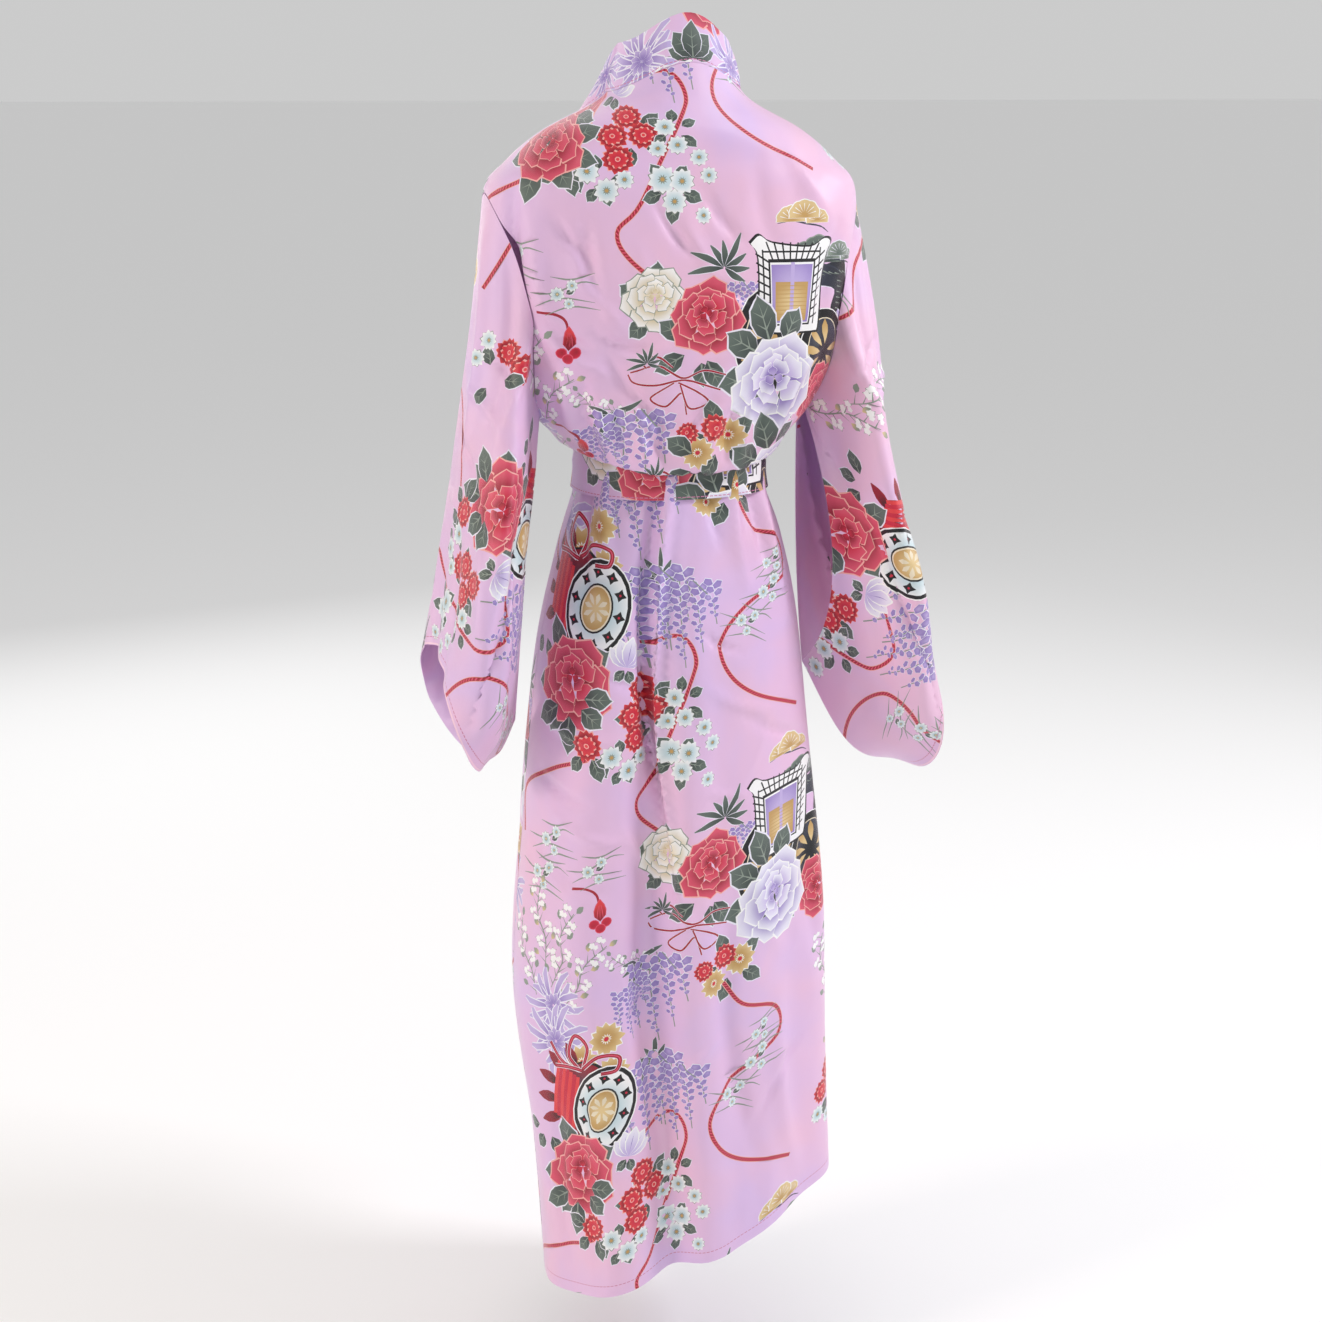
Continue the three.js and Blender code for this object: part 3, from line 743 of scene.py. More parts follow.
def lilac_peony():
    return peony(LILAC, VIOLET, PALE, WHITE)


def daisy(colour=WHITE, rim=SKY, edge=SAGE, heart=GOLD, count=10):
    """A small open daisy, 20 mm across."""
    inks = [ink(star(count, 10.6, 0.8), edge)] + crown(count, 10.4, 6, rim, colour, None, 2, 1.3, points=4)
    return inks + [ink(disc(2.3, count=7), edge), ink(disc(1.6, count=6), heart)]


def coral_daisy():
    """A fuller red daisy, 28 mm across, with two rounds of petals."""
    inks = [ink(star(14, 14.6, 0.84), BLUSH)] + crown(14, 14.4, 6.4, CRIMSON, CORAL, None, 6, 1.2, points=4)
    inks += [ink(star(10, 9.6, 0.82), BLUSH)] + crown(10, 9.4, 5.2, RED, CORAL, None, 1.5, 1.2, 0, 11, 4)
    return inks + [ink(disc(2.6, count=7), BLUSH), ink(disc(1.7, count=6), CORAL)]


def gold_daisy():
    inks = [ink(star(12, 17.6, 0.82), WHITE)] + crown(12, 17.4, 8, GOLD, STRAW, None, 3, 1.3, points=4)
    return inks + [ink(disc(3.4, count=8), STRAW), ink(disc(2.5, count=7), RED)]


def curled_mum():
    """A large chrysanthemum of long curled petals."""
    inks = []
    for k in range(20):
        turn = 18 * k + 9 * math.sin(5 * k)
        long = 30 + 8 * math.sin(2.7 * k)
        bend = 6 if k % 2 else -6
        line = np.array([(0, 9), (bend * 0.4, long * 0.55), (bend, long * 0.85), (bend * 1.7, long)])
        curl = ink(stroke(line, 6, 0.7), VIOLET, LILAC, (0, 0), 6, 30)
        inks += moved([ink(stroke(line, 8.4, 0.6), PALE), curl], turn=turn)
    return inks + crown(10, 13, 8, VIOLET, LILAC, WHITE, 1, 1.4, 0, 8, 4)


def leaf(long=26, wide=15, colour=LEAF, edge=PALE):
    """A leaf with a pale edge and pale veins."""
    inks = [ink(petal(long + 1, wide + 1.8, 0.95, 0.8), edge),
            ink(petal(long, wide, 0.95, 0.8), DEEP, colour, (0, 0), 0, long),
            ink(dash((0, 1), (0, long * 0.9), 1.2), SAGE)]
    for share in (0.28, 0.55):
        y = long * share
        for side in (-1, 1):
            inks.append(ink(dash((0, y), (side * wide * 0.34, y + 5)), SAGE))
    return inks


def leaves(turns, long=26, wide=15, foot=0.0):
    """Leaves about one point, each at its own turn."""
    inks = []
    for k, turn in enumerate(turns):
        reach = long * (0.85 + 0.15 * math.sin(3.1 * k + turn))
        c, s = math.cos(math.radians(turn)), math.sin(math.radians(turn))
        inks += moved(leaf(reach, wide), -s * foot, c * foot, 1, turn)
    return inks


def long_leaves(turns=(80, 48, 18, -14, -46, -78, 112, -108), long=34, colour=LEAF):
    """Narrow pointed leaves that spread like a hand."""
    inks = []
    for k, turn in enumerate(turns):
        reach = long * (0.8 + 0.2 * math.cos(2.1 * k))
        line = smooth([(0, 1), (1.2, reach * 0.5), (0, reach)], 5)
        blade = ink(stroke(line, 5.6, 1), DEEP, colour, (0, 0), 0, reach)
        inks += moved([ink(stroke(line, 7, 1), PALE), blade], turn=turn)
    return inks


def bellflower():
    inks = leaves((150, -150), 16, 9, 3)
    for turn, size in ((-52, 0.9), (52, 0.9), (-26, 1.0), (26, 1.0), (0, 1.05)):
        bell = [ink(petal(25, 14, 1.1), WHITE), ink(petal(23.6, 11.6, 1.1), LILAC, PALE, (0, 0), 2, 24),
                ink(stroke([(0, 3), (0, 11), (0, 20)], 0.7, 1), VIOLET)]
        inks += moved(bell, size=size, turn=turn)
    return inks


def wisteria(strands=((-13, 44), (0, 58), (13, 48), (24, 30))):
    """Hanging strands of small lilac flowers, larger at the top."""
    step = 5.5
    wing = [ink(disc(4.6, 3.3, 5), PALE), ink(disc(4.1, 2.8, 5, 0, -0.2), LILAC, VIOLET, (0, 0), 0, 3.4)]
    inks = []
    for x, long in strands:
        inks.append(ink(stroke([(x * 0.4, 4), (x, -long * 0.4), (x + 3, -long)], 0.8), SAGE))
        count = int(long / step)
        for k in range(count):
            size = 1 - 0.62 * k / count
            for side in (-1, 1):
                aside = side * 3.4 * size + 1.2 * math.sin(2.2 * k)
                inks += moved(wing, x + aside, -step * k - 1.3 * side, size, 28 * side)
    return inks


def pine_cloud(colour=STRAW, deep=GOLD, edge=WHITE):
    """Pine drawn as rounded fans over a thin branch."""
    inks = [ink(stroke(smooth([(-30, -9), (-14, -7), (2, -10), (20, -13), (31, -19)], 5), 1.6, 0.8), SLATE)]
    for x, y, size in ((-15, 0, 1.0), (16, -3, 0.85), (0, 4, 1.1)):
        around = np.radians(between(-8, 188, 21))
        scallop = 1 + 0.07 * np.abs(np.sin(around * 5))
        fan = np.stack([np.cos(around) * 15.5 * scallop, np.sin(around) * 12.5 * scallop - 6], -1)
        shape = [ink(fan * (1.06, 1.08) - (0, -0.4), edge), ink(fan, deep, colour, (0, -7), 2, 15)]
        for spoke in range(18, 180, 24):
            c, s = math.cos(math.radians(spoke)), math.sin(math.radians(spoke))
            shape.append(ink(dash((13 * c, 10.5 * s - 6), (3 * c, 3 * s - 6)), edge))
        inks += moved(shape, x, y, size)
    return inks


def dark_pine():
    """Grey-green pine over a dark, streaked trunk."""
    trunk_ring = smooth([
        (-34, -12), (-20, -4), (8, -8), (34, -2), (42, -20), (40, -46), (30, -58), (18, -48), (22, -30),
        (0, -26), (-22, -30), (-34, -12)], 4)[:-1]
    inks = [ink(trunk_ring * 1.03, PALE), ink(trunk_ring, SLATE, BLACK, (0, -20), 8, 40)]
    for k in range(11):
        x = -26 + 6 * k
        inks.append(ink(dash((x, -13 - k % 3), (x + 9, -17), 1.2), SAGE))
    for k in range(6):
        inks.append(ink(dash((26, -22 - 5 * k), (36, -24 - 5 * k), 1.2), SAGE))
    inks += moved(pine_cloud(LEAF, DEEP, SAGE), -4, 6, 1.15)
    return inks + moved(pine_cloud(SAGE, LEAF, PALE), 28, 4, 0.8)


def lattice(corners, lines, width):
    """Dark bars across a four-cornered panel, both ways."""
    a, b, c, d = (np.array(p, float) for p in corners)
    bars = [(a + (b - a) * k / lines[0], d + (c - d) * k / lines[0]) for k in range(1, lines[0])]
    bars += [(a + (d - a) * k / lines[1], b + (c - b) * k / lines[1]) for k in range(1, lines[1])]
    return [ink(stroke(bar, width), BLACK) for bar in bars]


def cart():
    """A court cart with a latticed frame, a lilac blind and part of its wheel, drawn freely."""
    wheel = [ink(disc(34, 42, 30), WHITE), ink(disc(33, 41, 30), BLACK), ink(disc(25, 33, 26), CREAM),
             ink(disc(24, 32, 26), BLACK, SLATE, (0, 0), 0, 30)]
    for k in range(9):
        wheel += moved([ink(petal(31, 8, 1.3, 0, 8), STRAW, GOLD, (0, 0), 8, 30)], turn=40 * k)
    wheel += [ink(disc(8.5, 10, 14), WHITE), ink(disc(7, 8.5, 14), BLACK), ink(disc(3, 3.6, 9), GOLD)]
    inks = moved(wheel, -14, -26) + moved(wheel[:12], 38, -40, 0.8)
    outer = smooth([
        (-38, 46), (-30, 52), (-18, 46), (16, 42), (32, 48), (42, 44), (36, 32), (32, -18), (22, -24),
        (-22, -22), (-28, -12), (-31, 34), (-38, 46)], 4)[:-1]
    inks += [ink(outer, BLACK), ink(outer * 0.955 + (0, 0.6), WHITE)]
    for side in (-1, 1):
        inks += lattice(((side * 33, 44), (side * 20, 36), (side * 18, -18), (side * 27, -16)), (2, 9), 1.3)
    inks += lattice(((-30, 46), (32, 43), (22, 31), (-22, 31)), (9, 2), 1.3)
    inner = np.array([(-21, 32), (21, 31), (18, -17), (-18, -16)], float)
    inks += [ink(inner * 1.03, BLACK), ink(inner * 0.95, WHITE),
             ink(inner * 0.9, LILAC, VIOLET, (0, 10), 4, 30)]
    blind = np.array([(-15, 16), (15, 15), (14, -14), (-14, -13)], float)
    inks += [ink(blind, STRAW, GOLD, (0, 0), 2, 18), ink(stroke([(0, 30), (0, 8), (0, -14)], 3.4), LILAC)]
    for k in range(9):
        inks.append(ink(stroke([(-14.4, 13 - 3 * k), (14.2, 12.2 - 3 * k)], 0.6), GOLD))
    return inks


def drum():
    """A hand drum laced with red cord, with a plain gold disc on its skin."""
    body = []
    for k in range(7):
        x = -36 + 3.4 * k
        lace = smooth([(x - 5, 24 - k), (x - 2, 0), (x + 2, -22 - k)], 5)
        body.append(ink(stroke(lace, 3.6, 0.2), RED if k % 2 else CORAL))
    flap = [ink(petal(26, 12, 0.9), CRIMSON), ink(petal(22, 8, 0.9), BLACK, CRIMSON, (0, 0), 2, 18)]
    inks = []
    for x, y, turn in ((-34, 18, 68), (-37, 5, 88), (-34, -8, 108), (-28, -20, 130), (-24, 26, 44)):
        inks += moved(flap, x, y, 0.8, turn)
    inks += [ink(disc(26, 33, 26, -10, 2), BLACK),
             ink(disc(24, 31, 26, -11, 2), SLATE, CRIMSON, (-11, 2), 8, 30)] + body
    inks += [ink(disc(27, 36, 24, 8), WHITE), ink(disc(26, 35, 24, 8), BLACK),
             ink(disc(23.4, 32, 24, 8), SKY, WHITE, (8, 0), 12, 30)]
    for k in range(10):
        c, s = math.cos(k * 0.628), math.sin(k * 0.628)
        inks += moved([ink(star(4, 4.8), BLACK), ink(disc(1, count=5), RED)], 8 + 18.6 * c, 26 * s)
    inks += [ink(disc(13.4, 18, 24, 8), BLACK), ink(disc(12, 16.6, 24, 8), CREAM),
             ink(disc(10.8, 15.4, 24, 8), STRAW, GOLD, (8, 0), 3, 15)]
    return inks + moved(crown(8, 11, 4.2, CREAM, CREAM, None, 2.6, 1.5, points=4), 8, 0)


def knot_loops():
    """The loops of cord tied on top of the drum."""
    inks = []
    for points in (
            ((-2, 0), (-12, 16), (-4, 34), (8, 22), (2, 2)), ((2, 2), (18, 12), (36, 8), (34, -4), (20, -4)),
            ((-2, 0), (-22, 10), (-34, 26)), ((0, 0), (-14, 4), (-30, 4))):
        line = smooth(points, 8)
        inks += [ink(stroke(line, 4.4), PALE), ink(stroke(line, 3.4), CORD), ink(stroke(line, 1.0, 0.8), ROSE)]
    return inks


def bow():
    """Loose loops of thin red cord."""
    inks = []
    for points in (
            ((-44, 14), (-20, 20), (4, 8), (24, 14), (44, 10)),
            ((-46, 12), (-40, 4), (-20, 2), (6, 6), (40, -4)),
            ((-4, 4), (-24, -10), (-10, -18), (4, -6), (10, -26)),
            ((0, 4), (20, -6), (30, -16), (12, -20), (2, 2)), ((-30, 18), (-36, 26), (-20, 28), (-6, 18))):
        line = smooth(points, 8)
        inks += [ink(stroke(line, 2.6, 0.3), PALE), ink(stroke(line, 1.9, 0.3), CORD)]
    return inks


def tassel():
    inks = [ink(stroke(smooth([(-30, 34), (-14, 33), (-3, 26), (0, 10)], 6), 2.4), CORD)]
    inks += [ink(petal(22, 13, 0.8), ROSE), ink(petal(21, 11.4, 0.8), CRIMSON, CORAL, (0, 0), 2, 20)]
    for x in (-3, 0, 3):
        inks.append(ink(stroke([(x, 3), (x * 0.8, 9), (x * 0.4, 16)], 0.7, 0.6), ROSE))
    for x, y in ((-6, -2), (6, -2), (0, -7)):
        inks += [ink(disc(5.4, 4.8, 11, x, y), ROSE), ink(disc(4.6, 4, 11, x, y), CRIMSON, RED, (x, y), 0, 4.6)]
    return inks


def grass():
    """Thin blades with three small daisies."""
    inks = []
    for points in (
            ((-34, 8), (-8, 4), (20, 10), (36, 4)), ((-30, -6), (-4, -2), (30, -12)),
            ((-20, -16), (6, -12), (34, -20)), ((-10, 20), (10, 14), (34, 16))):
        inks.append(ink(stroke(smooth(points, 4), 1.7, 0.95), SAGE))
    inks += leaves((60, -70), 10, 6, 3)
    for right, up, size in ((-6, 2, 0.72), (10, 8, 0.6), (4, -9, 0.55)):
        inks += moved(daisy(WHITE, SKY, SAGE, STRAW, 9), right, up, size)
    return inks


def spray(long=74, colour=SAGE):
    """A thin upright branch with small leaves and pale blossoms."""
    stem = smooth([(0, -long / 2), (4, -long / 6), (-3, long / 6), (5, long / 2)], 6)
    inks = [ink(stroke(stem, 1.3, 0.5), SAGE)]
    for k, (x, y) in enumerate(stem[1:-1]):
        turn = (46 + 16 * math.sin(2 * k)) * (-1 if k % 2 else 1)
        tip = (x - 11 * math.sin(math.radians(turn)), y + 11 * math.cos(math.radians(turn)))
        inks.append(ink(dash((x, y), tip, 1.2), SAGE))
        if k % 3 == 0:
            inks += moved([ink(petal(9, 6, 1.0, count=4), colour, SAGE, (0, 0), 0, 8)], *tip, 1, turn)
        else:
            inks += moved([ink(star(5, 4.4), SAGE), ink(star(5, 3.6, 0.7), WHITE)], *tip)
            inks += moved([ink(star(5, 2.8, 0.7), WHITE)], (x + tip[0]) / 2, (y + tip[1]) / 2 + 4)
    return inks


def gold_spray():
    return spray(80, STRAW)


def cord(points, width=3.8):
    """A braided cord: a dark line crossed by slanting light strands."""
    line = smooth(points, 6)
    inks = [ink(stroke(line, width + 1.4), BLUSH), ink(stroke(line, width), CORD)]
    gone = np.concatenate([[0], np.cumsum(np.hypot(*np.diff(line, axis=0).T))])
    for far in np.arange(2, gone[-1] - 2, 4.0):
        x, y = np.interp(far, gone, line[:, 0]), np.interp(far, gone, line[:, 1])
        x1, y1 = np.interp(far + 1, gone, line[:, 0]), np.interp(far + 1, gone, line[:, 1])
        turn = math.degrees(math.atan2(y1 - y, x1 - x))
        inks += moved([ink([(-2, -1.3), (-0.6, -1.6), (2, 1.2), (0.6, 1.6)], ROSE)], x, y, 1, turn)
    return inks


REPEAT = (500, 551)
MOTIF_GROWTH = 1.14
MOTIF_REACH = 60            # no motif reaches further from its middle

# The paths of the cords, to the right and down
CORDS = (
    ((52, 0), (74, 34), (119, 60), (119, 96), (60, 120), (29, 153), (36, 190), (70, 225), (140, 262)),
    ((-64, 150), (-20, 142), (-2, 165), (-10, 200), (-51, 292), (-76, 322), (-60, 352), (-9, 388), (20, 402)),
    ((-131, 262), (-185, 275), (-246, 305), (-246, 352)),
)

# Motif, right, down, size and turn. Leaves have the turn of each leaf, right, down and size.
PRINT = (
    (curled_mum, -168, 22, 1.1, 0),
    (long_leaves, -40, 78, 0.9, 10),
    (wisteria, -58, 70, 1.6, 0),
    (wisteria, -18, 88, 1.35, 0),
    (gold_daisy, -101, 22, 1.0, 0),
    (gold_daisy, -132, 46, 1.1, 20),
    (gold_daisy, -96, 62, 0.95, 5),
    (leaves, (150, 205, 95), -196, 130, 1.0),
    (drum, -122, 100, 1.3, -22),
    (knot_loops, -134, 56, 1.1, 0),
    (leaves, (20, -60, 100, 150, -120), -150, 178, 1.6),
    (bellflower, -82, 168, 1.1, -18),
    (peony, -146, 182, 1.4, 0),
    (leaves, (-95, -130, 120, 175), -152, 196, 1.5),
    (leaves, (30, -40, 90, 170, -120), -58, 222, 1.0),
    (coral_daisy, -64, 196, 1.0, 0),
    (coral_daisy, -48, 220, 1.0, 9),
    (coral_daisy, -79, 222, 1.0, 4),
    (coral_daisy, -74, 248, 1.0, 13),
    (leaves, (70, 140, -150, 200), -131, 248, 1.0),
    (coral_daisy, -131, 247, 1.05, 0),
    (leaves, (0, 60, 130, -60, -130), -18, 214, 0.75),
    (daisy, -26, 210, 1.0, 0),
    (daisy, -14, 232, 0.95, 0),
    (daisy, 8, 246, 0.85, 0),
    (daisy, -34, 236, 0.85, 0),
    (leaves, (10, 80, 150, -90, -160), -92, 270, 0.75),
    (daisy, -105, 262, 1.1, 0),
    (daisy, -86, 281, 1.1, 0),
    (daisy, -68, 270, 0.85, 0),
    (leaves, (40, -30, 110, 180, -110), -20, 280, 0.85),
    (daisy, -30, 270, 1.3, 0),
    (daisy, -10, 272, 1.15, 0),
    (daisy, -18, 292, 1.1, 0),
    (daisy, 18, 266, 0.8, 0),
    (daisy, 12, 306, 0.75, 0),
    (grass, 90, 112, 1.0, 14),
    (grass, 58, 140, 0.9, -16),
    (grass, 96, 80, 0.8, 20),
    (pine_cloud, 126, 306, 0.95, 0),
    (dark_pine, 150, 352, 1.0, 0),
    (long_leaves, 34, 358, 1.0, -14),
    (wisteria, 46, 376, 0.8, 0),
    (cart, 112, 396, 1.2, 0),
    (leaves, (60, 140, -120, 0), -36, 396, 1.2),
    (cream_peony, -38, 388, 0.95, 0),
    (leaves, (120, 190, -150, 60), 10, 436, 1.3),
    (peony, 18, 408, 1.12, 25),
    (peony, 176, 500, 1.1, 60),
    (leaves, (20, -24, 60, 170, -150, 110), 96, 458, 1.8),
    (lilac_peony, 100, 480, 1.5, 10),
    (bow, -10, 478, 1.0, 0),
    (long_leaves, -44, 452, 0.55, 0),
    (tassel, -124, 440, 1.0, 0),
    (grass, -190, 352, 1.0, 8),
    (grass, -206, 390, 1.0, -4),
    (grass, -130, 384, 0.9, 10),
    (leaves, (20, 90, 160, -60, -130), 40, 536, 1.1),
    (gold_daisy, 50, 532, 0.95, 0),
    (gold_daisy, 16, 548, 0.85, 10),
    (coral_daisy, 32, 522, 0.9, 0),
    (coral_daisy, 4, 528, 0.75, 0),
    (gold_spray, -206, 446, 1.0, 8),
    (spray, -176, 470, 1.1, -20),
    (gold_spray, -150, 502, 1.0, -38),
    (spray, -232, 486, 1.0, 22),
    (spray, -88, 500, 0.7, 66),
    (curled_mum, -190, 534, 1.0, 40),
    (long_leaves, -78, 506, 0.9, 180),
    (wisteria, -62, 508, 1.5, 0),
    (wisteria, -96, 528, 0.9, 0),
    (spray, 206, 60, 1.1, 12),
    (gold_spray, 226, 130, 1.1, -14),
    (coral_daisy, 214, 196, 1.0, 0),
    (coral_daisy, 198, 218, 0.9, 0),
    (leaves, (0, 120, -120), 226, 230, 1.0),
    (daisy, 190, 244, 0.9, 0),
    (daisy, 210, 256, 0.8, 0),
    (curled_mum, 222, 420, 0.9, 0),
)


def draw_print():
    """Each motif of one repeat, with its middle to the right of and below the repeat's corner."""
    groups = []
    for points in CORDS:
        path = np.array(points, float) * (1, -1)
        groups.append((path.mean(axis=0) * (1, -1), cord(path)))
    for motif, right, down, size, turn in PRINT:
        if motif is leaves:
            turns, x, y, grown = right, down, size, turn
            groups.append((np.array([x, y]), moved(leaves(turns, 24, 14, 12), x, -y, grown * MOTIF_GROWTH)))
        else:
            groups.append((np.array([right, down]), moved(motif(), right, -down, size * MOTIF_GROWTH, turn)))
    return groups


def laid(shapes, spin, start):
    """Inks turned onto a panel's own flat axes."""
    return [dict(shape, ring=shape["ring"] @ spin + start, heart=shape["heart"] @ spin + start)
            for shape in shapes]


def lay_print(groups, outline, lays):
    """The repeats of the print that fall on a panel, from its lays."""
    low, high = outline.min(axis=0) - MOTIF_REACH, outline.max(axis=0) + MOTIF_REACH
    inks = []
    for corner, right, down, first, last in lays:
        right, down, corner = np.array(right, float), np.array(down, float), np.array(corner, float)
        for j in range(-3, 4):
            for i in range(-2, 3):
                for (x, y), shapes in groups:
                    here = corner + right * (x + i * REPEAT[0]) + down * (y + j * REPEAT[1])
                    if (here < low).any() or (here > high).any() or not first <= here[1] < last:
                        continue
                    start = corner + right * i * REPEAT[0] + down * j * REPEAT[1]
                    inks += laid(shapes, np.array([right, -down]), start)
    return inks


# Pattern pieces of the robe

def between(low, high, count):
    return np.linspace(low, high, count)


def row_list(low, high, spacing=0.05):
    """Rows for a chart, close enough together for the bends above the belt."""
    return between(low, high, int((high - low) / spacing) + 1)


def arm_rows(low, high):
    """Rows along a side, closer together where the armhole turns."""
    turns = np.array([0, 0.002, 0.006, 0.012, 0.02, 0.035, 0.055, 0.08, 0.96, 0.985, 0.995, 1.0])
    rows = np.concatenate([
        row_list(low, high, 0.08), mix(ARM_TOP, ARM_LOW, turns), [ARM_TOP - 0.001, ARM_LOW + 0.001]])
    return np.unique(np.clip(rows, low, high))


def back_chart():
    return Chart(trunk, between(-92, 92, 185), row_list(0, HEM), 0, 25)


def back_outline(chart):
    neck = between(90, -90, 60)
    rows = arm_rows(NECK_SIDE, HEM)
    edge = 90 - arm_open(rows) - side_gap(rows)
    hem = between(edge[-1], -edge[-1], 90)
    return np.concatenate([
        chart.flat(neck[1:-1], neck_row(neck[1:-1])), chart.flat(-edge, rows),
        chart.flat(hem[::-1][1:-1], np.full(88, HEM)), chart.flat(edge[::-1], rows[::-1])])


def front_chart(side):
    def place(angle, at, out=0.0):
        return front_place(side, angle, at, out)
    return Chart(place, between(88, 262, 175), row_list(NECK_SIDE, HEM), 90, 130)


def front_outline(side, chart):
    rows = arm_rows(NECK_SIDE, HEM)
    outer = 90 + arm_open(rows) + side_gap(rows)
    inner_rows = row_list(NECK_SIDE, HEM, 0.08)
    inner = front_edge(side, inner_rows)
    hem = between(outer[-1], inner[-1], 80)
    return np.concatenate([
        chart.flat(outer, rows), chart.flat(hem[1:-1], np.full(78, HEM)),
        chart.flat(inner[::-1], inner_rows[::-1])])


CORNER = 26                 # the cuff's lower corner is rounded by this, from this share of the depth
CORNER_FROM = 0.82


def sleeve_chart(cut):
    """A sleeve laid flat, its outline and the cuff's line.

    b runs down its top fold and a square to it, round to the seam underneath.
    """
    turns = between(-1, 1, 161)
    armhole, cuff = sleeve_place(cut, turns, 0.0), sleeve_place(cut, turns, 1.0)
    top, foot = armhole[80], cuff[80]
    axis = (foot - top) * (1, 0, 1)
    axis = axis / np.linalg.norm(axis)
    near, far = (armhole - top) @ axis, (cuff - top) @ axis

    def place(turn, fall, out=0.0):
        first, last = np.interp(turn, turns, near), np.interp(turn, turns, far)
        return sleeve_place(cut, turn, np.clip((fall - first) / (last - first), -1, 2), out)

    chart = Chart(place, turns, between(near.min(), far.max(), 90), 0, 0)
    chart.b = chart.rows - chart.rows[0]
    side = between(0.02, 0.98, 40)
    edge = between(-0.9995, 0.9995, 161)
    past = np.clip((np.abs(edge) - CORNER_FROM) / (1 - CORNER_FROM), 0, 1)
    first = np.interp(edge, turns, near)
    last = np.interp(edge, turns, far) - CORNER * (1 - np.sqrt(1 - past**2))
    outline = np.concatenate([
        chart.flat(edge, first), chart.flat(edge[-1], mix(first[-1], last[-1], side)),
        chart.flat(edge[::-1], last[::-1]), chart.flat(edge[0], mix(last[0], first[0], side))])
    return chart, outline, chart.flat(edge, last)


def box_outline(chart, low, high, first, last, sides=70, ends=60):
    """The edge of a piece that is a plain strip on its chart."""
    angles, rows = between(low, high, ends), between(first, last, sides)
    return np.concatenate([
        chart.flat(angles, np.full(ends, first)), chart.flat(np.full(sides - 1, high), rows[1:]),
        chart.flat(angles[::-1][1:], np.full(ends - 1, last)),
        chart.flat(np.full(sides - 2, low), rows[::-1][1:-1])])


def collar_chart():
    last = COLLAR_END - NECK_SIDE + 1
    trails = np.unique(np.concatenate([between(-last, -1, 150), between(-1, 1, 60), between(1, last, 150)]))
    return Chart(collar_place, trails, between(0, 1, 9), 0, 0), last


def belt_chart():
    return Chart(belt_place, between(180, 540, 181), between(BELT_TOP, BELT_FOOT, 12), 360, 360)


# The knot and its two ends

KNOT_HALF, KNOT_DEEP = 12, 15
TAIL_WIDE, TAIL_NARROW, TAIL_OUT, TAIL_LIFT = 36, 21, 8, 3.3
TAIL_TOP, TAIL_END = ROW["belt_low"] + ROW_GAP / 2, ROW["hip"] + 0.8
TAIL_LEAN = (6.2, 12.5)     # degrees from the middle at the knot and at the foot


def knot_place(across, down, out=0.0):
    """The soft dome of the knot. across and down run from -1 to 1."""
    across, down = np.broadcast_arrays(np.asarray(across, float), np.asarray(down, float))
    height = 3 + KNOT_DEEP * np.sqrt(np.clip((1 - across**4) * (1 - down**4), 0, 1))
    pinch = 0.8 - 0.2 * across * across
    at = mix(BELT_TOP, BELT_FOOT, (down * pinch + 1) / 2)
    foot = BELT_EASE + LAP + BELT_CLOTH + 0.8
    return trunk(180 - across * KNOT_HALF * (1 - 0.2 * down), at, foot + height + out)


def tail_chart(lean):
    def place(across, k, out=0.0):
        across, k = np.broadcast_arrays(np.asarray(across, float), np.asarray(k, float))
        at = mix(TAIL_TOP, TAIL_END, k)
        wide = mix(TAIL_NARROW, TAIL_WIDE, ease(k, 0, 0.3)) / 2
        centre = 180 + lean * mix(*TAIL_LEAN, k)
        reach = np.degrees(wide / column("half", at)) * 0.8
        curl = 1.6 * np.sin(7 * k) * ease(k, 0.1, 0.5) * across**2
        lift = TAIL_OUT + TAIL_LIFT * (1 - ease(k, 0, 0.25)) + curl
        return trunk(centre + reach * across, at, lift + out)
    return Chart(place, between(-1, 1, 13), between(0, 1, 60), 0, 0)


# Where each panel lies on the printed cloth: the (a, b) of the repeat's corner, the repeat's right
# and down ways on the panel, and the first and last b of this lay
LAYS = {
    "back": (((5, -133), (-1, 0), (0.02, 1), -99, 425), ((0, 540), (-1, 0), (0, 1), 425, 1100),
             ((22, 1094), (-1, 0), (0.05, 1), 1100, 1700)),
    "front_left": (((60, -210), (-1, 0), (0, 1), -99, 1700),),
    "front_right": (((-40, -60), (1, 0), (0, 1), -99, 1700),),
    "sleeve_left": (((296, 454), (0, 1), (-1, 0), -200, 900),),
    "sleeve_right": (((25, 500), (0, 1), (1, 0), -200, 900),),
    "collar": (((-480, 300), (0, 1), (1, 0), -999, 999),),
    "belt": (((60, -390), (-1, 0), (0, 1), -99, 99),),
    "belt_knot": (((160, -100), (-1, 0), (0, 1), -99, 199),),
    "belt_end_left": (((60, -180), (-1, 0), (0, 1), -99, 399),),
    "belt_end_right": (((-30, -320), (-1, 0), (0, 1), -99, 399),),
}


def wreath():
    """The leaves round the peony on the shoulder."""
    return leaves((70, 110, 150, 200, 250, 300), 30, 17, 16)


def spread_leaves():
    """The leaves at the middle of the collar."""
    inks = []
    for turn, size in ((64, 0.8), (-64, 0.8), (34, 1), (-34, 1), (0, 1.1)):
        inks += moved(leaf(34, 19), 0, 0, size, turn)
    return inks


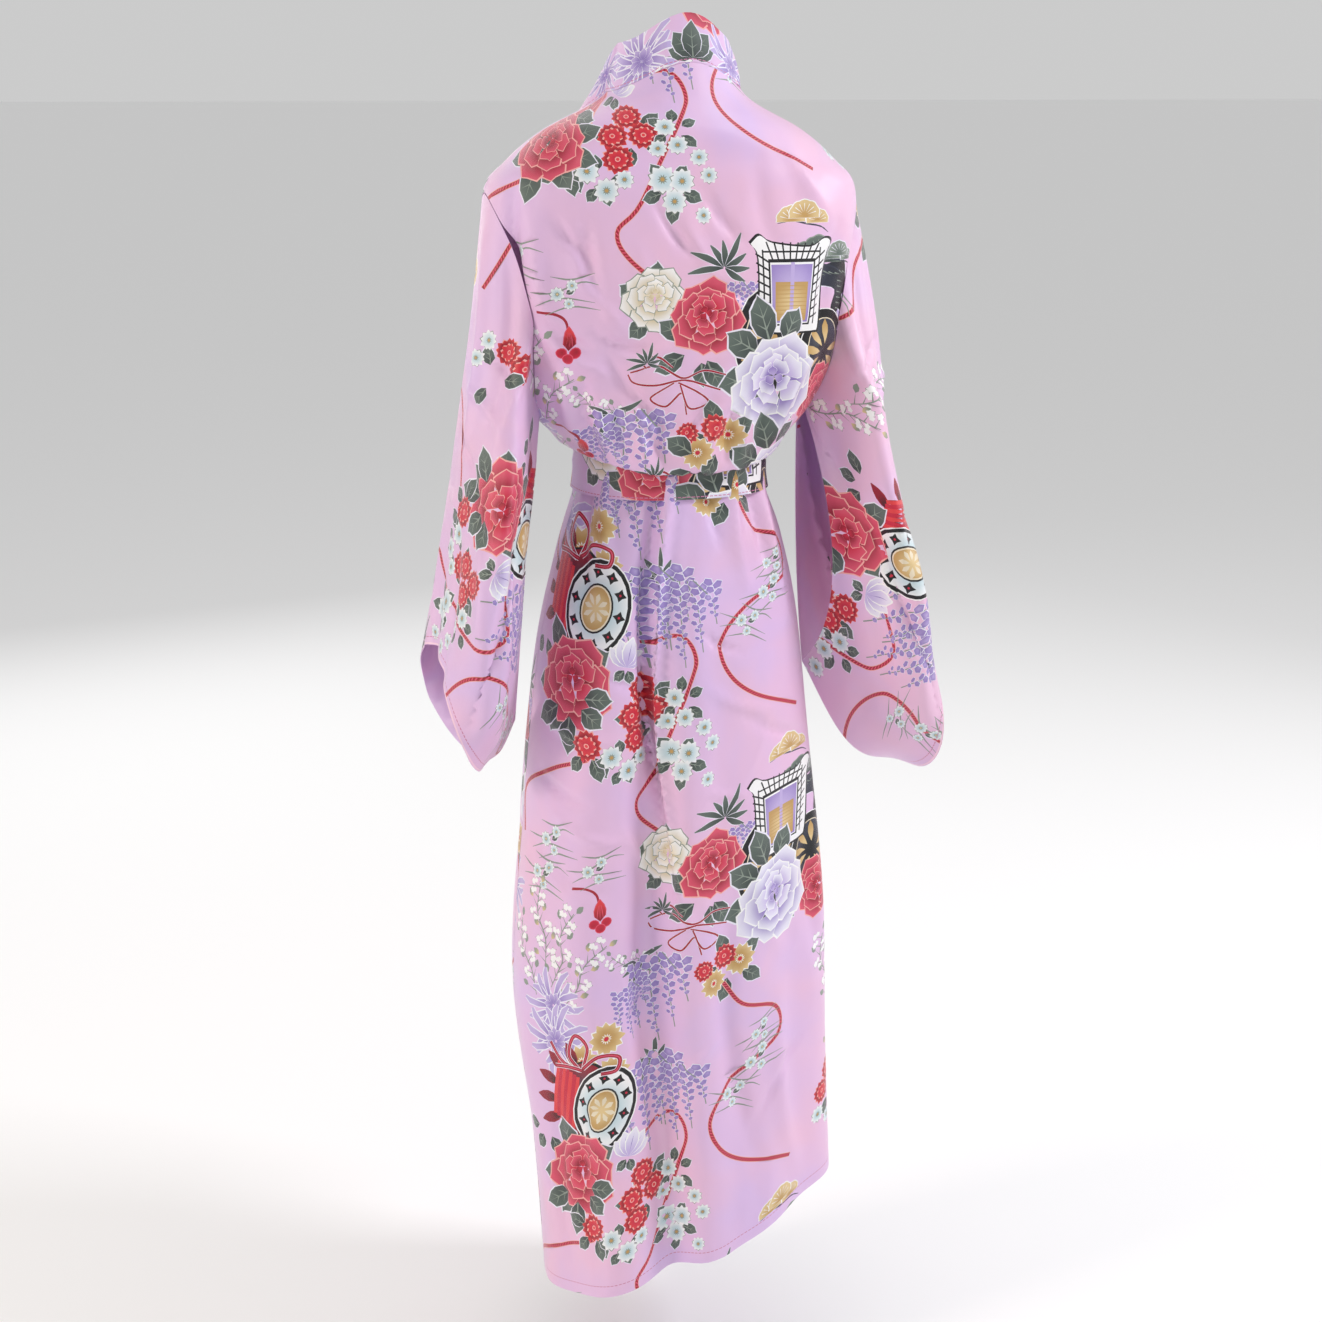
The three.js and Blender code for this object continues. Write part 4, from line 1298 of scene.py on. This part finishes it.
# Motifs that show where the cut doesn't follow the repeat: panel, motif, a, b, size and turn
EXTRAS = (
    ("collar", curled_mum, -54, 30, 1.15, 20),
    ("collar", curled_mum, 60, 34, 1.15, 70),
    ("collar", curled_mum, -118, 26, 0.9, 0),
    ("collar", curled_mum, 126, 30, 0.9, 10),
    ("collar", spread_leaves, 2, 46, 1.0, 0),
    ("back", wreath, 160, 100, 1.4, 0),
    ("back", peony, 160, 98, 1.4, 20),
)


def extra_inks(name):
    upright = np.array([(1, 0), (0, -1)])
    inks = []
    for panel, motif, a, b, size, turn in EXTRAS:
        if panel == name:
            inks += laid(moved(motif(), 0, 0, size, turn), upright, (a, b))
    return inks


# Seam and hem lines, as thin marks just inside an edge; the dark line by the shoulder seam is painted shade

# the dark seam colour is painted shade along the shoulder seam
THREAD, SEAM_PAINTED_SHADE, HEM_PALE = hue(206, 128, 166), hue(150, 60, 84), hue(252, 214, 232)


def edge_marks(line, inset, width=0.9, step=5.0, colour=THREAD, fill=0.72):
    """A row of stitches along a line of flat points, moved in by the inset (a, b)."""
    line = np.asarray(line, float) + np.asarray(inset, float)
    gone = np.concatenate([[0], np.cumsum(np.hypot(*np.diff(line, axis=0).T))])
    starts = np.arange(1, gone[-1] - step, step)
    inks = []
    for far in starts:
        ends = [[np.interp(far + d, gone, way) for way in line.T] for d in (0, step * fill)]
        inks.append(ink(stroke(ends, width), colour))
    return inks


def trims(name, chart):
    """Stitched hems, cuffs and front edges, and a line of painted shade along the back's shoulder seam."""
    inks = []
    if name == "back":
        angles = between(-86, 86, 120)
        inks += edge_marks(chart.flat(angles, HEM), (0, -13))
        rows = between(1.2, ARM_TOP - 0.05, 30)
        shoulder = chart.flat(-(90 - arm_open(rows) - side_gap(rows)), rows)
        # a dark line just inside the shoulder seam: painted shade of the seam
        inks.append(ink(stroke(shoulder + (3.2, 0), 1.3), SEAM_PAINTED_SHADE))
    elif name.startswith("front"):
        side = 1 if name == "front_left" else -1
        rows = between(NECK_SIDE, HEM - 0.1, 160)
        inks += edge_marks(chart.flat(between(94, float(front_edge(side, HEM)) - 4, 120), HEM), (0, -13))
        inks += edge_marks(chart.flat(front_edge(side, rows), rows)[rows > ROW["hip"]], (-8, 0))
    elif name.startswith("sleeve"):
        inks += edge_marks(chart.cuff, (0, -9))
        inks += edge_marks(chart.cuff, (0, -1.6), 1.6, 4, HEM_PALE, 1.0)
    elif name == "collar":
        last = COLLAR_END - NECK_SIDE + 0.9
        inks += edge_marks(chart.flat(between(-last, last, 500), 1.0), (0, -3))
    elif name == "belt":
        for at, inset in ((BELT_TOP, 2.5), (BELT_FOOT, -2.5)):
            inks += edge_marks(chart.flat(between(182, 538, 180), at), (0, inset))
    return inks


# Creases pressed into the cloth: start and end (a, b), height out (a trough is below zero) and spread

BACK_CREASES = (
    ((196, 150), (186, 290), -4.0, 9), ((172, 172), (150, 300), 3.0, 11), ((150, 176), (112, 214), -1.8, 6),
    ((117, 180), (104, 262), -2.2, 8), ((132, 210), (84, 282), 1.6, 7), ((50, 158), (6, 214), -2.0, 6),
    ((-4, 150), (-42, 200), -1.8, 7), ((20, 168), (-18, 240), 1.5, 9), ((112, 288), (56, 308), -1.9, 5),
    ((168, 276), (116, 306), -2.4, 6), ((160, 300), (96, 330), 1.8, 6), ((100, 308), (28, 392), -2.6, 8),
    ((76, 352), (30, 404), 2.2, 6), ((-14, 362), (18, 414), -2.4, 6), ((-52, 350), (-4, 410), 2.0, 8),
    ((-118, 292), (-50, 388), -2.8, 9), ((-150, 300), (-96, 372), 2.2, 9), ((-168, 190), (-140, 300), -2.6, 10),
    ((-96, 96), (-150, 176), 1.4, 11), ((-60, 120), (-82, 214), -1.3, 12), ((86, 86), (130, 150), 1.2, 10),
    ((122, 340), (104, 424), -2.6, 6), ((104, 352), (88, 424), 2.2, 6), ((84, 366), (70, 428), -2.4, 5),
    ((62, 372), (50, 430), 2.0, 5), ((40, 378), (34, 430), -2.4, 5), ((-20, 376), (-14, 430), 2.0, 5),
    ((-40, 370), (-32, 428), -2.2, 5), ((-62, 366), (-50, 426), 2.2, 6), ((-86, 356), (-70, 424), -2.6, 6),
    ((-112, 346), (-92, 420), 2.4, 7), ((144, 330), (124, 416), 2.4, 8), ((66, 206), (40, 262), 1.2, 8),
    ((-10, 236), (-66, 262), -1.4, 6), ((30, 300), (72, 330), 1.3, 6), ((-30, 320), (24, 348), -1.3, 6),
    # below the belt
    ((17, 478), (14, 1010), 5.5, 7), ((32, 482), (27, 960), -6.5, 7), ((110, 484), (122, 640), -2.6, 9),
    ((84, 486), (92, 600), 2.2, 8), ((58, 484), (62, 570), -2.0, 6), ((-24, 484), (-30, 590), -2.2, 7),
    ((-52, 486), (-60, 640), 2.4, 8), ((-78, 486), (-92, 620), -2.6, 8), ((-100, 490), (-124, 690), 2.4, 10),
    ((2, 560), (-2, 820), -1.6, 9), ((-4, 680), (-52, 712), -1.4, 5), ((-12, 744), (-96, 792), 1.3, 7),
    ((-60, 790), (-150, 840), -1.5, 7), ((-8, 860), (-70, 880), 1.1, 6), ((120, 700), (52, 742), -1.4, 6),
    ((190, 760), (96, 786), 1.5, 7), ((206, 820), (130, 852), -1.7, 6), ((180, 862), (90, 900), 1.3, 6),
    ((210, 900), (120, 950), -1.6, 7), ((96, 886), (40, 950), 1.3, 7), ((198, 980), (140, 1060), -1.6, 8),
    ((-70, 940), (-110, 1090), 1.8, 13), ((-40, 1010), (-56, 1330), -2.2, 13), ((84, 960), (80, 1290), 2.0, 14),
    ((150, 1100), (158, 1400), -2.2, 13), ((-104, 1140), (-120, 1390), 2.2, 13),
    ((46, 1080), (118, 1120), -1.3, 6), ((-20, 1160), (40, 1200), 1.2, 6), ((112, 1180), (188, 1240), -1.4, 7),
    ((-130, 1220), (-60, 1280), -1.4, 7), ((30, 1290), (90, 1330), 1.3, 7),
    ((200, 1200), (206, 1380), -2.0, 10), ((-160, 900), (-176, 1150), -2.2, 12),
)
FRONT_CREASES = (
    ((40, 150), (30, 300), -3.4, 9), ((66, 170), (74, 296), 2.4, 10), ((92, 160), (132, 262), -1.8, 8),
    ((150, 120), (196, 220), 1.6, 10), ((60, 300), (120, 390), -2.4, 8), ((90, 310), (150, 398), 2.2, 8),
    ((176, 300), (160, 404), -2.2, 7), ((204, 330), (188, 408), 2.0, 7), ((120, 372), (116, 430), -2.2, 5),
    ((142, 376), (138, 430), 2.0, 5), ((226, 340), (214, 410), -1.8, 6), ((40, 352), (52, 420), 2.2, 7),
    ((60, 470), (50, 640), -2.4, 9), ((88, 472), (84, 590), 2.2, 7), ((118, 470), (120, 610), -2.4, 8),
    ((150, 472), (156, 640), 2.4, 9), ((182, 474), (192, 600), -2.0, 8), ((214, 480), (226, 700), 2.0, 10),
    ((70, 700), (150, 742), -1.4, 6), ((180, 780), (90, 830), 1.4, 7), ((60, 900), (140, 940), -1.5, 7),
    ((200, 940), (120, 1010), 1.4, 8), ((80, 960), (76, 1280), 2.0, 13), ((140, 1010), (150, 1330), -2.2, 13),
    ((206, 1040), (214, 1360), 2.0, 14), ((30, 860), (24, 1200), -2.0, 12), ((100, 1150), (180, 1200), -1.3, 7),
)
SLEEVE_CREASES = (
    ((-23, 26), (-47, 234), -3.0, 9), ((16, 39), (28, 260), 2.6, 10), ((55, 52), (75, 221), -2.6, 9),
    ((86, 78), (94, 247), 2.0, 8), ((-70, 39), (-86, 247), 2.2, 10), ((8, 247), (75, 302), -1.8, 6),
    ((23, 195), (90, 229), 1.6, 6), ((47, 156), (109, 195), -1.8, 5), ((-16, 312), (55, 341), 1.6, 7),
    ((70, 312), (133, 390), -1.8, 8), ((-86, 273), (-31, 341), -1.6, 7), ((31, 325), (47, 559), -2.4, 13),
    ((101, 338), (125, 572), 2.4, 13), ((-31, 338), (-44, 572), 2.2, 13), ((-94, 325), (-109, 559), -2.4, 12),
    ((148, 312), (179, 520), -2.4, 12), ((-148, 156), (-172, 429), 2.2, 12), ((156, 156), (204, 338), 2.2, 11),
    ((16, 429), (78, 494), 1.3, 7), ((-70, 429), (-8, 484), -1.3, 7), ((195, 195), (257, 312), -2.0, 10),
    ((234, 117), (296, 221), 1.8, 9), ((265, 52), (335, 169), -1.8, 9), ((312, 117), (367, 208), 1.5, 8),
)
COLLAR_CREASES = (
    ((-60, 2), (-44, 58), -1.2, 6), ((-30, 4), (-26, 56), 0.9, 7), ((40, 2), (34, 56), -1.0, 7),
    ((84, 4), (70, 56), 1.1, 7),
)
BELT_CREASES = (
    ((-120, 8), (-60, 26), -0.8, 4), ((40, 20), (110, 8), 0.8, 4), ((150, 10), (230, 26), -0.8, 4),
    ((-260, 22), (-190, 10), 0.8, 4), ((-20, 30), (60, 36), -0.6, 4),
)
KNOT_CREASES = (
    ((-14, 4), (6, 34), -2.6, 4), ((-4, 2), (14, 30), 2.0, 4), ((12, 4), (16, 38), -1.8, 4),
    ((-18, 14), (-8, 38), 1.6, 4),
)
CREASES = {
    "back": BACK_CREASES, "front_left": FRONT_CREASES, "front_right": FRONT_CREASES,
    "sleeve_left": SLEEVE_CREASES, "sleeve_right": SLEEVE_CREASES,
    "collar": COLLAR_CREASES, "belt": BELT_CREASES, "belt_knot": KNOT_CREASES,
}
CREASE_DEPTH = 2.5


def deepened(creases):
    return [(start, end, lift * CREASE_DEPTH, spread) for start, end, lift, spread in creases]


def panels():
    """Every cloth piece: node, chart, outline, thickness and mesh pitch."""
    chart = back_chart()
    yield "back", chart, back_outline(chart), CLOTH, 7
    for name, side in (("front_left", 1), ("front_right", -1)):
        chart = front_chart(side)
        yield name, chart, front_outline(side, chart), CLOTH, 6.5
    for name, cut in SLEEVES.items():
        chart, outline, chart.cuff = sleeve_chart(cut)
        yield name, chart, outline, CLOTH, 5.5
    chart, last = collar_chart()
    yield "collar", chart, box_outline(chart, -last, last, 0, 1, sides=12, ends=330), BAND_CLOTH, 6
    chart = belt_chart()
    outline = box_outline(chart, 180.1, 539.9, BELT_TOP, BELT_FOOT, sides=8, ends=120)
    yield "belt", chart, outline, BAND_CLOTH, 5
    chart = Chart(knot_place, between(-1, 1, 41), between(-1, 1, 41), 0, 0)
    yield "belt_knot", chart, box_outline(chart, -0.98, 0.98, -0.98, 0.98, sides=20, ends=20), BAND_CLOTH, 2
    for name, lean in (("belt_end_left", -1), ("belt_end_right", 1)):
        chart = tail_chart(lean)
        yield name, chart, box_outline(chart, -1, 1, 0, 1, sides=50, ends=12), BAND_CLOTH, 4


def make_robe():
    groups = draw_print()
    pieces = []
    for name, chart, outline, thick, pitch in panels():
        inks = lay_print(groups, outline, LAYS[name]) + extra_inks(name) + trims(name, chart)
        creases = deepened(CREASES.get(name, ()))
        cloth = cut_cloth(name + "_cloth", chart, outline, inks, creases, pitch, thick, GROUND)
        size = tuple(np.ptp(outline, axis=0) * MM)
        area = sum(face.area for face in cloth.data.polygons) / 2
        pieces.append((name, cloth, size, min(area, size[0] * size[1])))
    return pieces


# Finishes

def group(name, inputs, outputs):
    """An empty shader group with named sockets."""
    tree = bpy.data.node_groups.new(name, "ShaderNodeTree")
    for label, kind, value in inputs:
        socket = tree.interface.new_socket(label, in_out="INPUT", socket_type=kind)
        if value is not None:
            socket.default_value = value
    for label, kind in outputs:
        tree.interface.new_socket(label, in_out="OUTPUT", socket_type=kind)
    return tree, tree.nodes.new("NodeGroupInput"), tree.nodes.new("NodeGroupOutput")


def node(tree, kind, **settings):
    made = tree.nodes.new(kind)
    for label, value in settings.items():
        setattr(made, label, value)
    return made


def satin_painted_sheen():
    """Painted sheen and shade: lilac and peach tints drifting by noise over the bare ground of the cloth,
    standing in for the satin's reflections and shade, and a faint unevenness of the same painted tints in its
    inks.
    """
    tree, start, end = group("satin_painted_sheen", (
        ("Print", "NodeSocketColor", (1, 1, 1, 1)), ("Inked", "NodeSocketFloat", 0.0),
        ("Painted sheen colour", "NodeSocketColor", (1, 1, 1, 1)), ("Painted shade colour", "NodeSocketColor", (1, 1, 1, 1)),
        ("Amount", "NodeSocketFloat", 0.5)), (("Color", "NodeSocketColor"),))
    link = tree.links.new
    place = node(tree, "ShaderNodeTexCoord")
    drift = node(tree, "ShaderNodeTexNoise")
    drift.inputs["Scale"].default_value = 5.5
    drift.inputs["Detail"].default_value = 3
    drift.inputs["Distortion"].default_value = 0.6
    link(place.outputs["Object"], drift.inputs["Vector"])
    spread = node(tree, "ShaderNodeMapRange")
    for label, value in (("From Min", 0.36), ("From Max", 0.64)):
        spread.inputs[label].default_value = value
    link(drift.outputs["Fac"], spread.inputs["Value"])
    # the noise picks between the painted sheen colour (lilac) and the painted shade colour (peach)
    tint = node(tree, "ShaderNodeMix", data_type="RGBA")
    link(spread.outputs["Result"], tint.inputs["Factor"])
    link(start.outputs["Painted sheen colour"], tint.inputs["A"])
    link(start.outputs["Painted shade colour"], tint.inputs["B"])
    bare = node(tree, "ShaderNodeMath", operation="MULTIPLY_ADD")
    bare.inputs[1].default_value = -0.82
    bare.inputs[2].default_value = 1.0
    link(start.outputs["Inked"], bare.inputs[0])
    much = node(tree, "ShaderNodeMath", operation="MULTIPLY")
    link(bare.outputs[0], much.inputs[0])
    link(start.outputs["Amount"], much.inputs[1])
    out = node(tree, "ShaderNodeMix", data_type="RGBA", blend_type="MULTIPLY")
    link(much.outputs[0], out.inputs["Factor"])
    link(start.outputs["Print"], out.inputs["A"])
    link(tint.outputs["Result"], out.inputs["B"])
    link(out.outputs["Result"], end.inputs["Color"])
    return tree


def satin_weave():
    """The twill of the satin and the small creases of worn cloth, as a height in millimetres."""
    tree, start, end = group("satin_weave", (
        ("Threads per metre", "NodeSocketFloat", 1500.0), ("Thread height", "NodeSocketFloat", 0.04),
        ("Crease height", "NodeSocketFloat", 0.6)),
        (("Height", "NodeSocketFloat"), ("Uneven", "NodeSocketFloat")))
    link = tree.links.new
    flat = node(tree, "ShaderNodeUVMap", uv_map="cloth")
    turn = node(tree, "ShaderNodeMapping")
    turn.inputs["Rotation"].default_value = (0, 0, 0.6)
    link(flat.outputs["UV"], turn.inputs["Vector"])
    threads = node(tree, "ShaderNodeTexWave", wave_type="BANDS", bands_direction="X")
    link(start.outputs["Threads per metre"], threads.inputs["Scale"])
    link(turn.outputs["Vector"], threads.inputs["Vector"])
    fine = node(tree, "ShaderNodeMath", operation="MULTIPLY")
    link(threads.outputs["Fac"], fine.inputs[0])
    link(start.outputs["Thread height"], fine.inputs[1])
    bend = node(tree, "ShaderNodeTexNoise")
    bend.inputs["Scale"].default_value = 9
    link(flat.outputs["UV"], bend.inputs["Vector"])
    push = node(tree, "ShaderNodeVectorMath", operation="MULTIPLY_ADD")
    push.inputs[1].default_value = (0.16, 0.16, 0)
    link(bend.outputs["Color"], push.inputs[0])
    link(flat.outputs["UV"], push.inputs[2])
    shape = node(tree, "ShaderNodeMapping")
    shape.inputs["Scale"].default_value = (15, 8, 1)
    shape.inputs["Rotation"].default_value = (0, 0, 0.5)
    link(push.outputs["Vector"], shape.inputs["Vector"])
    ridges = node(tree, "ShaderNodeTexVoronoi", feature="SMOOTH_F1")
    ridges.inputs["Scale"].default_value = 1.0
    ridges.inputs["Smoothness"].default_value = 0.35
    link(shape.outputs["Vector"], ridges.inputs["Vector"])
    coarse = node(tree, "ShaderNodeMath", operation="MULTIPLY")
    link(ridges.outputs["Distance"], coarse.inputs[0])
    link(start.outputs["Crease height"], coarse.inputs[1])
    both = node(tree, "ShaderNodeMath", operation="ADD")
    link(fine.outputs[0], both.inputs[0])
    link(coarse.outputs[0], both.inputs[1])
    link(both.outputs[0], end.inputs["Height"])
    link(bend.outputs["Fac"], end.inputs["Uneven"])
    return tree


def satin(name, painted_sheen, weave, crease, gloss):
    """Printed satin with a soft sheen over a fine twill, paler on its reverse; its colour also carries painted
    sheen and shade tints.
    """
    material = bpy.data.materials.new(name)
    material.use_nodes = True
    tree = material.node_tree
    link = tree.links.new
    shader = tree.nodes["Principled BSDF"]
    drawn = node(tree, "ShaderNodeAttribute", attribute_name="print")
    # painted sheen and shade: lilac and peach tints laid over the print's colour
    tint = node(tree, "ShaderNodeGroup", node_tree=painted_sheen)
    tint.inputs["Painted sheen colour"].default_value = (0.84, 0.86, 1.0, 1)
    tint.inputs["Painted shade colour"].default_value = (1.0, 0.88, 0.86, 1)
    tint.inputs["Amount"].default_value = 0.85
    link(drawn.outputs["Color"], tint.inputs["Print"])
    link(drawn.outputs["Alpha"], tint.inputs["Inked"])
    link(tint.outputs["Color"], shader.inputs["Base Color"])
    cloth = node(tree, "ShaderNodeGroup", node_tree=weave)
    cloth.inputs["Crease height"].default_value = crease
    bump = node(tree, "ShaderNodeBump")
    bump.inputs["Distance"].default_value = MM
    bump.inputs["Strength"].default_value = 0.9
    link(cloth.outputs["Height"], bump.inputs["Height"])
    link(bump.outputs["Normal"], shader.inputs["Normal"])
    rough = node(tree, "ShaderNodeMapRange")
    rough.inputs["To Min"].default_value = gloss - 0.07
    rough.inputs["To Max"].default_value = gloss + 0.09
    link(cloth.outputs["Uneven"], rough.inputs["Value"])
    link(rough.outputs["Result"], shader.inputs["Roughness"])
    shader.inputs["Sheen Weight"].default_value = 0.3
    shader.inputs["Sheen Roughness"].default_value = 0.35
    shader.inputs["Sheen Tint"].default_value = (1.0, 0.86, 0.93, 1)
    shader.inputs["Specular IOR Level"].default_value = 0.5
    return material


def stage():
    """A pale floor and a pale surround."""
    floor_level = -1.46
    bpy.ops.mesh.primitive_plane_add(size=400, location=(0, 0, floor_level))
    floor = bpy.context.object
    floor.name = "floor"
    paper = bpy.data.materials.new("pale_floor")
    paper.use_nodes = True
    shader = paper.node_tree.nodes["Principled BSDF"]
    shader.inputs["Base Color"].default_value = (0.93, 0.93, 0.93, 1)
    shader.inputs["Roughness"].default_value = 0.9
    floor.data.materials.append(paper)
    world = bpy.data.worlds.new("studio")
    world.use_nodes = True
    world.node_tree.nodes["Background"].inputs["Color"].default_value = (1, 1, 1, 1)
    world.node_tree.nodes["Background"].inputs["Strength"].default_value = 0.6
    bpy.context.scene.world = world
    bpy.context.scene.view_settings.view_transform = "Standard"


def camera():
    """The view of the photograph: behind the robe, a little to its left and level with the nape."""
    distance, height, swing, tip = 2300, -22, math.radians(16), math.radians(15)
    focal, aside = 2150 / 1322, 10.7
    right = Vector((-math.cos(swing), math.sin(swing), 0))
    back = Vector((math.sin(swing), math.cos(swing), 0))
    look = -back * math.cos(tip) - Vector((0, 0, 1)) * math.sin(tip)
    data = bpy.data.cameras.new("camera")
    data.sensor_width = 36
    data.lens = 36 * focal
    lens = bpy.data.objects.new("camera", data)
    lens.location = (back * distance + Vector((0, 0, height)) - right * aside) * MM
    lens.rotation_euler = look.to_track_quat("-Z", "Y").to_euler()
    bpy.context.scene.collection.objects.link(lens)
    bpy.context.scene.camera = lens


def area_light(name, place, aim, size, power, colour=(1, 1, 1)):
    data = bpy.data.lights.new(name, "AREA")
    data.size, data.energy, data.color = size, power, colour
    lamp = bpy.data.objects.new(name, data)
    lamp.location = place
    lamp.rotation_euler = (Vector(aim) - Vector(place)).to_track_quat("-Z", "Y").to_euler()
    bpy.context.scene.collection.objects.link(lamp)


def lights():
    area_light("key", (-2.5, 1.1, 1.5), (0, 0, -0.3), 0.7, 60, (0.97, 0.96, 1.0))
    area_light("warm_side", (2.6, 0.5, 0.4), (0, 0, -0.6), 0.7, 26, (1.0, 0.87, 0.76))
    area_light("fill", (-2.6, -1.2, 0.4), (0, 0, -0.6), 2.2, 10)
    area_light("front_fill", (0.6, -3, 0.6), (0, 0, -0.6), 2.5, 24)


HELD = {
    "back": ("gathered", ["belt"]),
    "front_left": ("gathered", ["belt"]),
    "front_right": ("gathered", ["belt"]),
    "sleeve_left": ("hung", ["back", "front_left"]), "sleeve_right": ("hung", ["back", "front_right"]),
    "collar": ("folded", ["back", "front_left", "front_right"]),
    "belt": ("folded", ["back", "front_left", "front_right"]),
    "belt_knot": ("folded", ["belt"]),
    "belt_end_left": ("hung", ["belt_knot"]),
    "belt_end_right": ("hung", ["belt_knot"]),
}


def main():
    camera()
    stage()
    lights()
    # the group of painted sheen and shade tints, and the weave's height
    painted_sheen, weave = satin_painted_sheen(), satin_weave()
    worn = satin("printed_satin", painted_sheen, weave, 4.4, 0.34)
    folded = satin("folded_satin", painted_sheen, weave, 1.0, 0.4)
    for name, piece, flat, area in make_robe():
        band = name.startswith(("collar", "belt"))
        piece.data.materials.append(folded if band else worn)
        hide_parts(name)
        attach(piece, "root")
        held, rests_on = HELD[name]
        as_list(rests_on)


main()
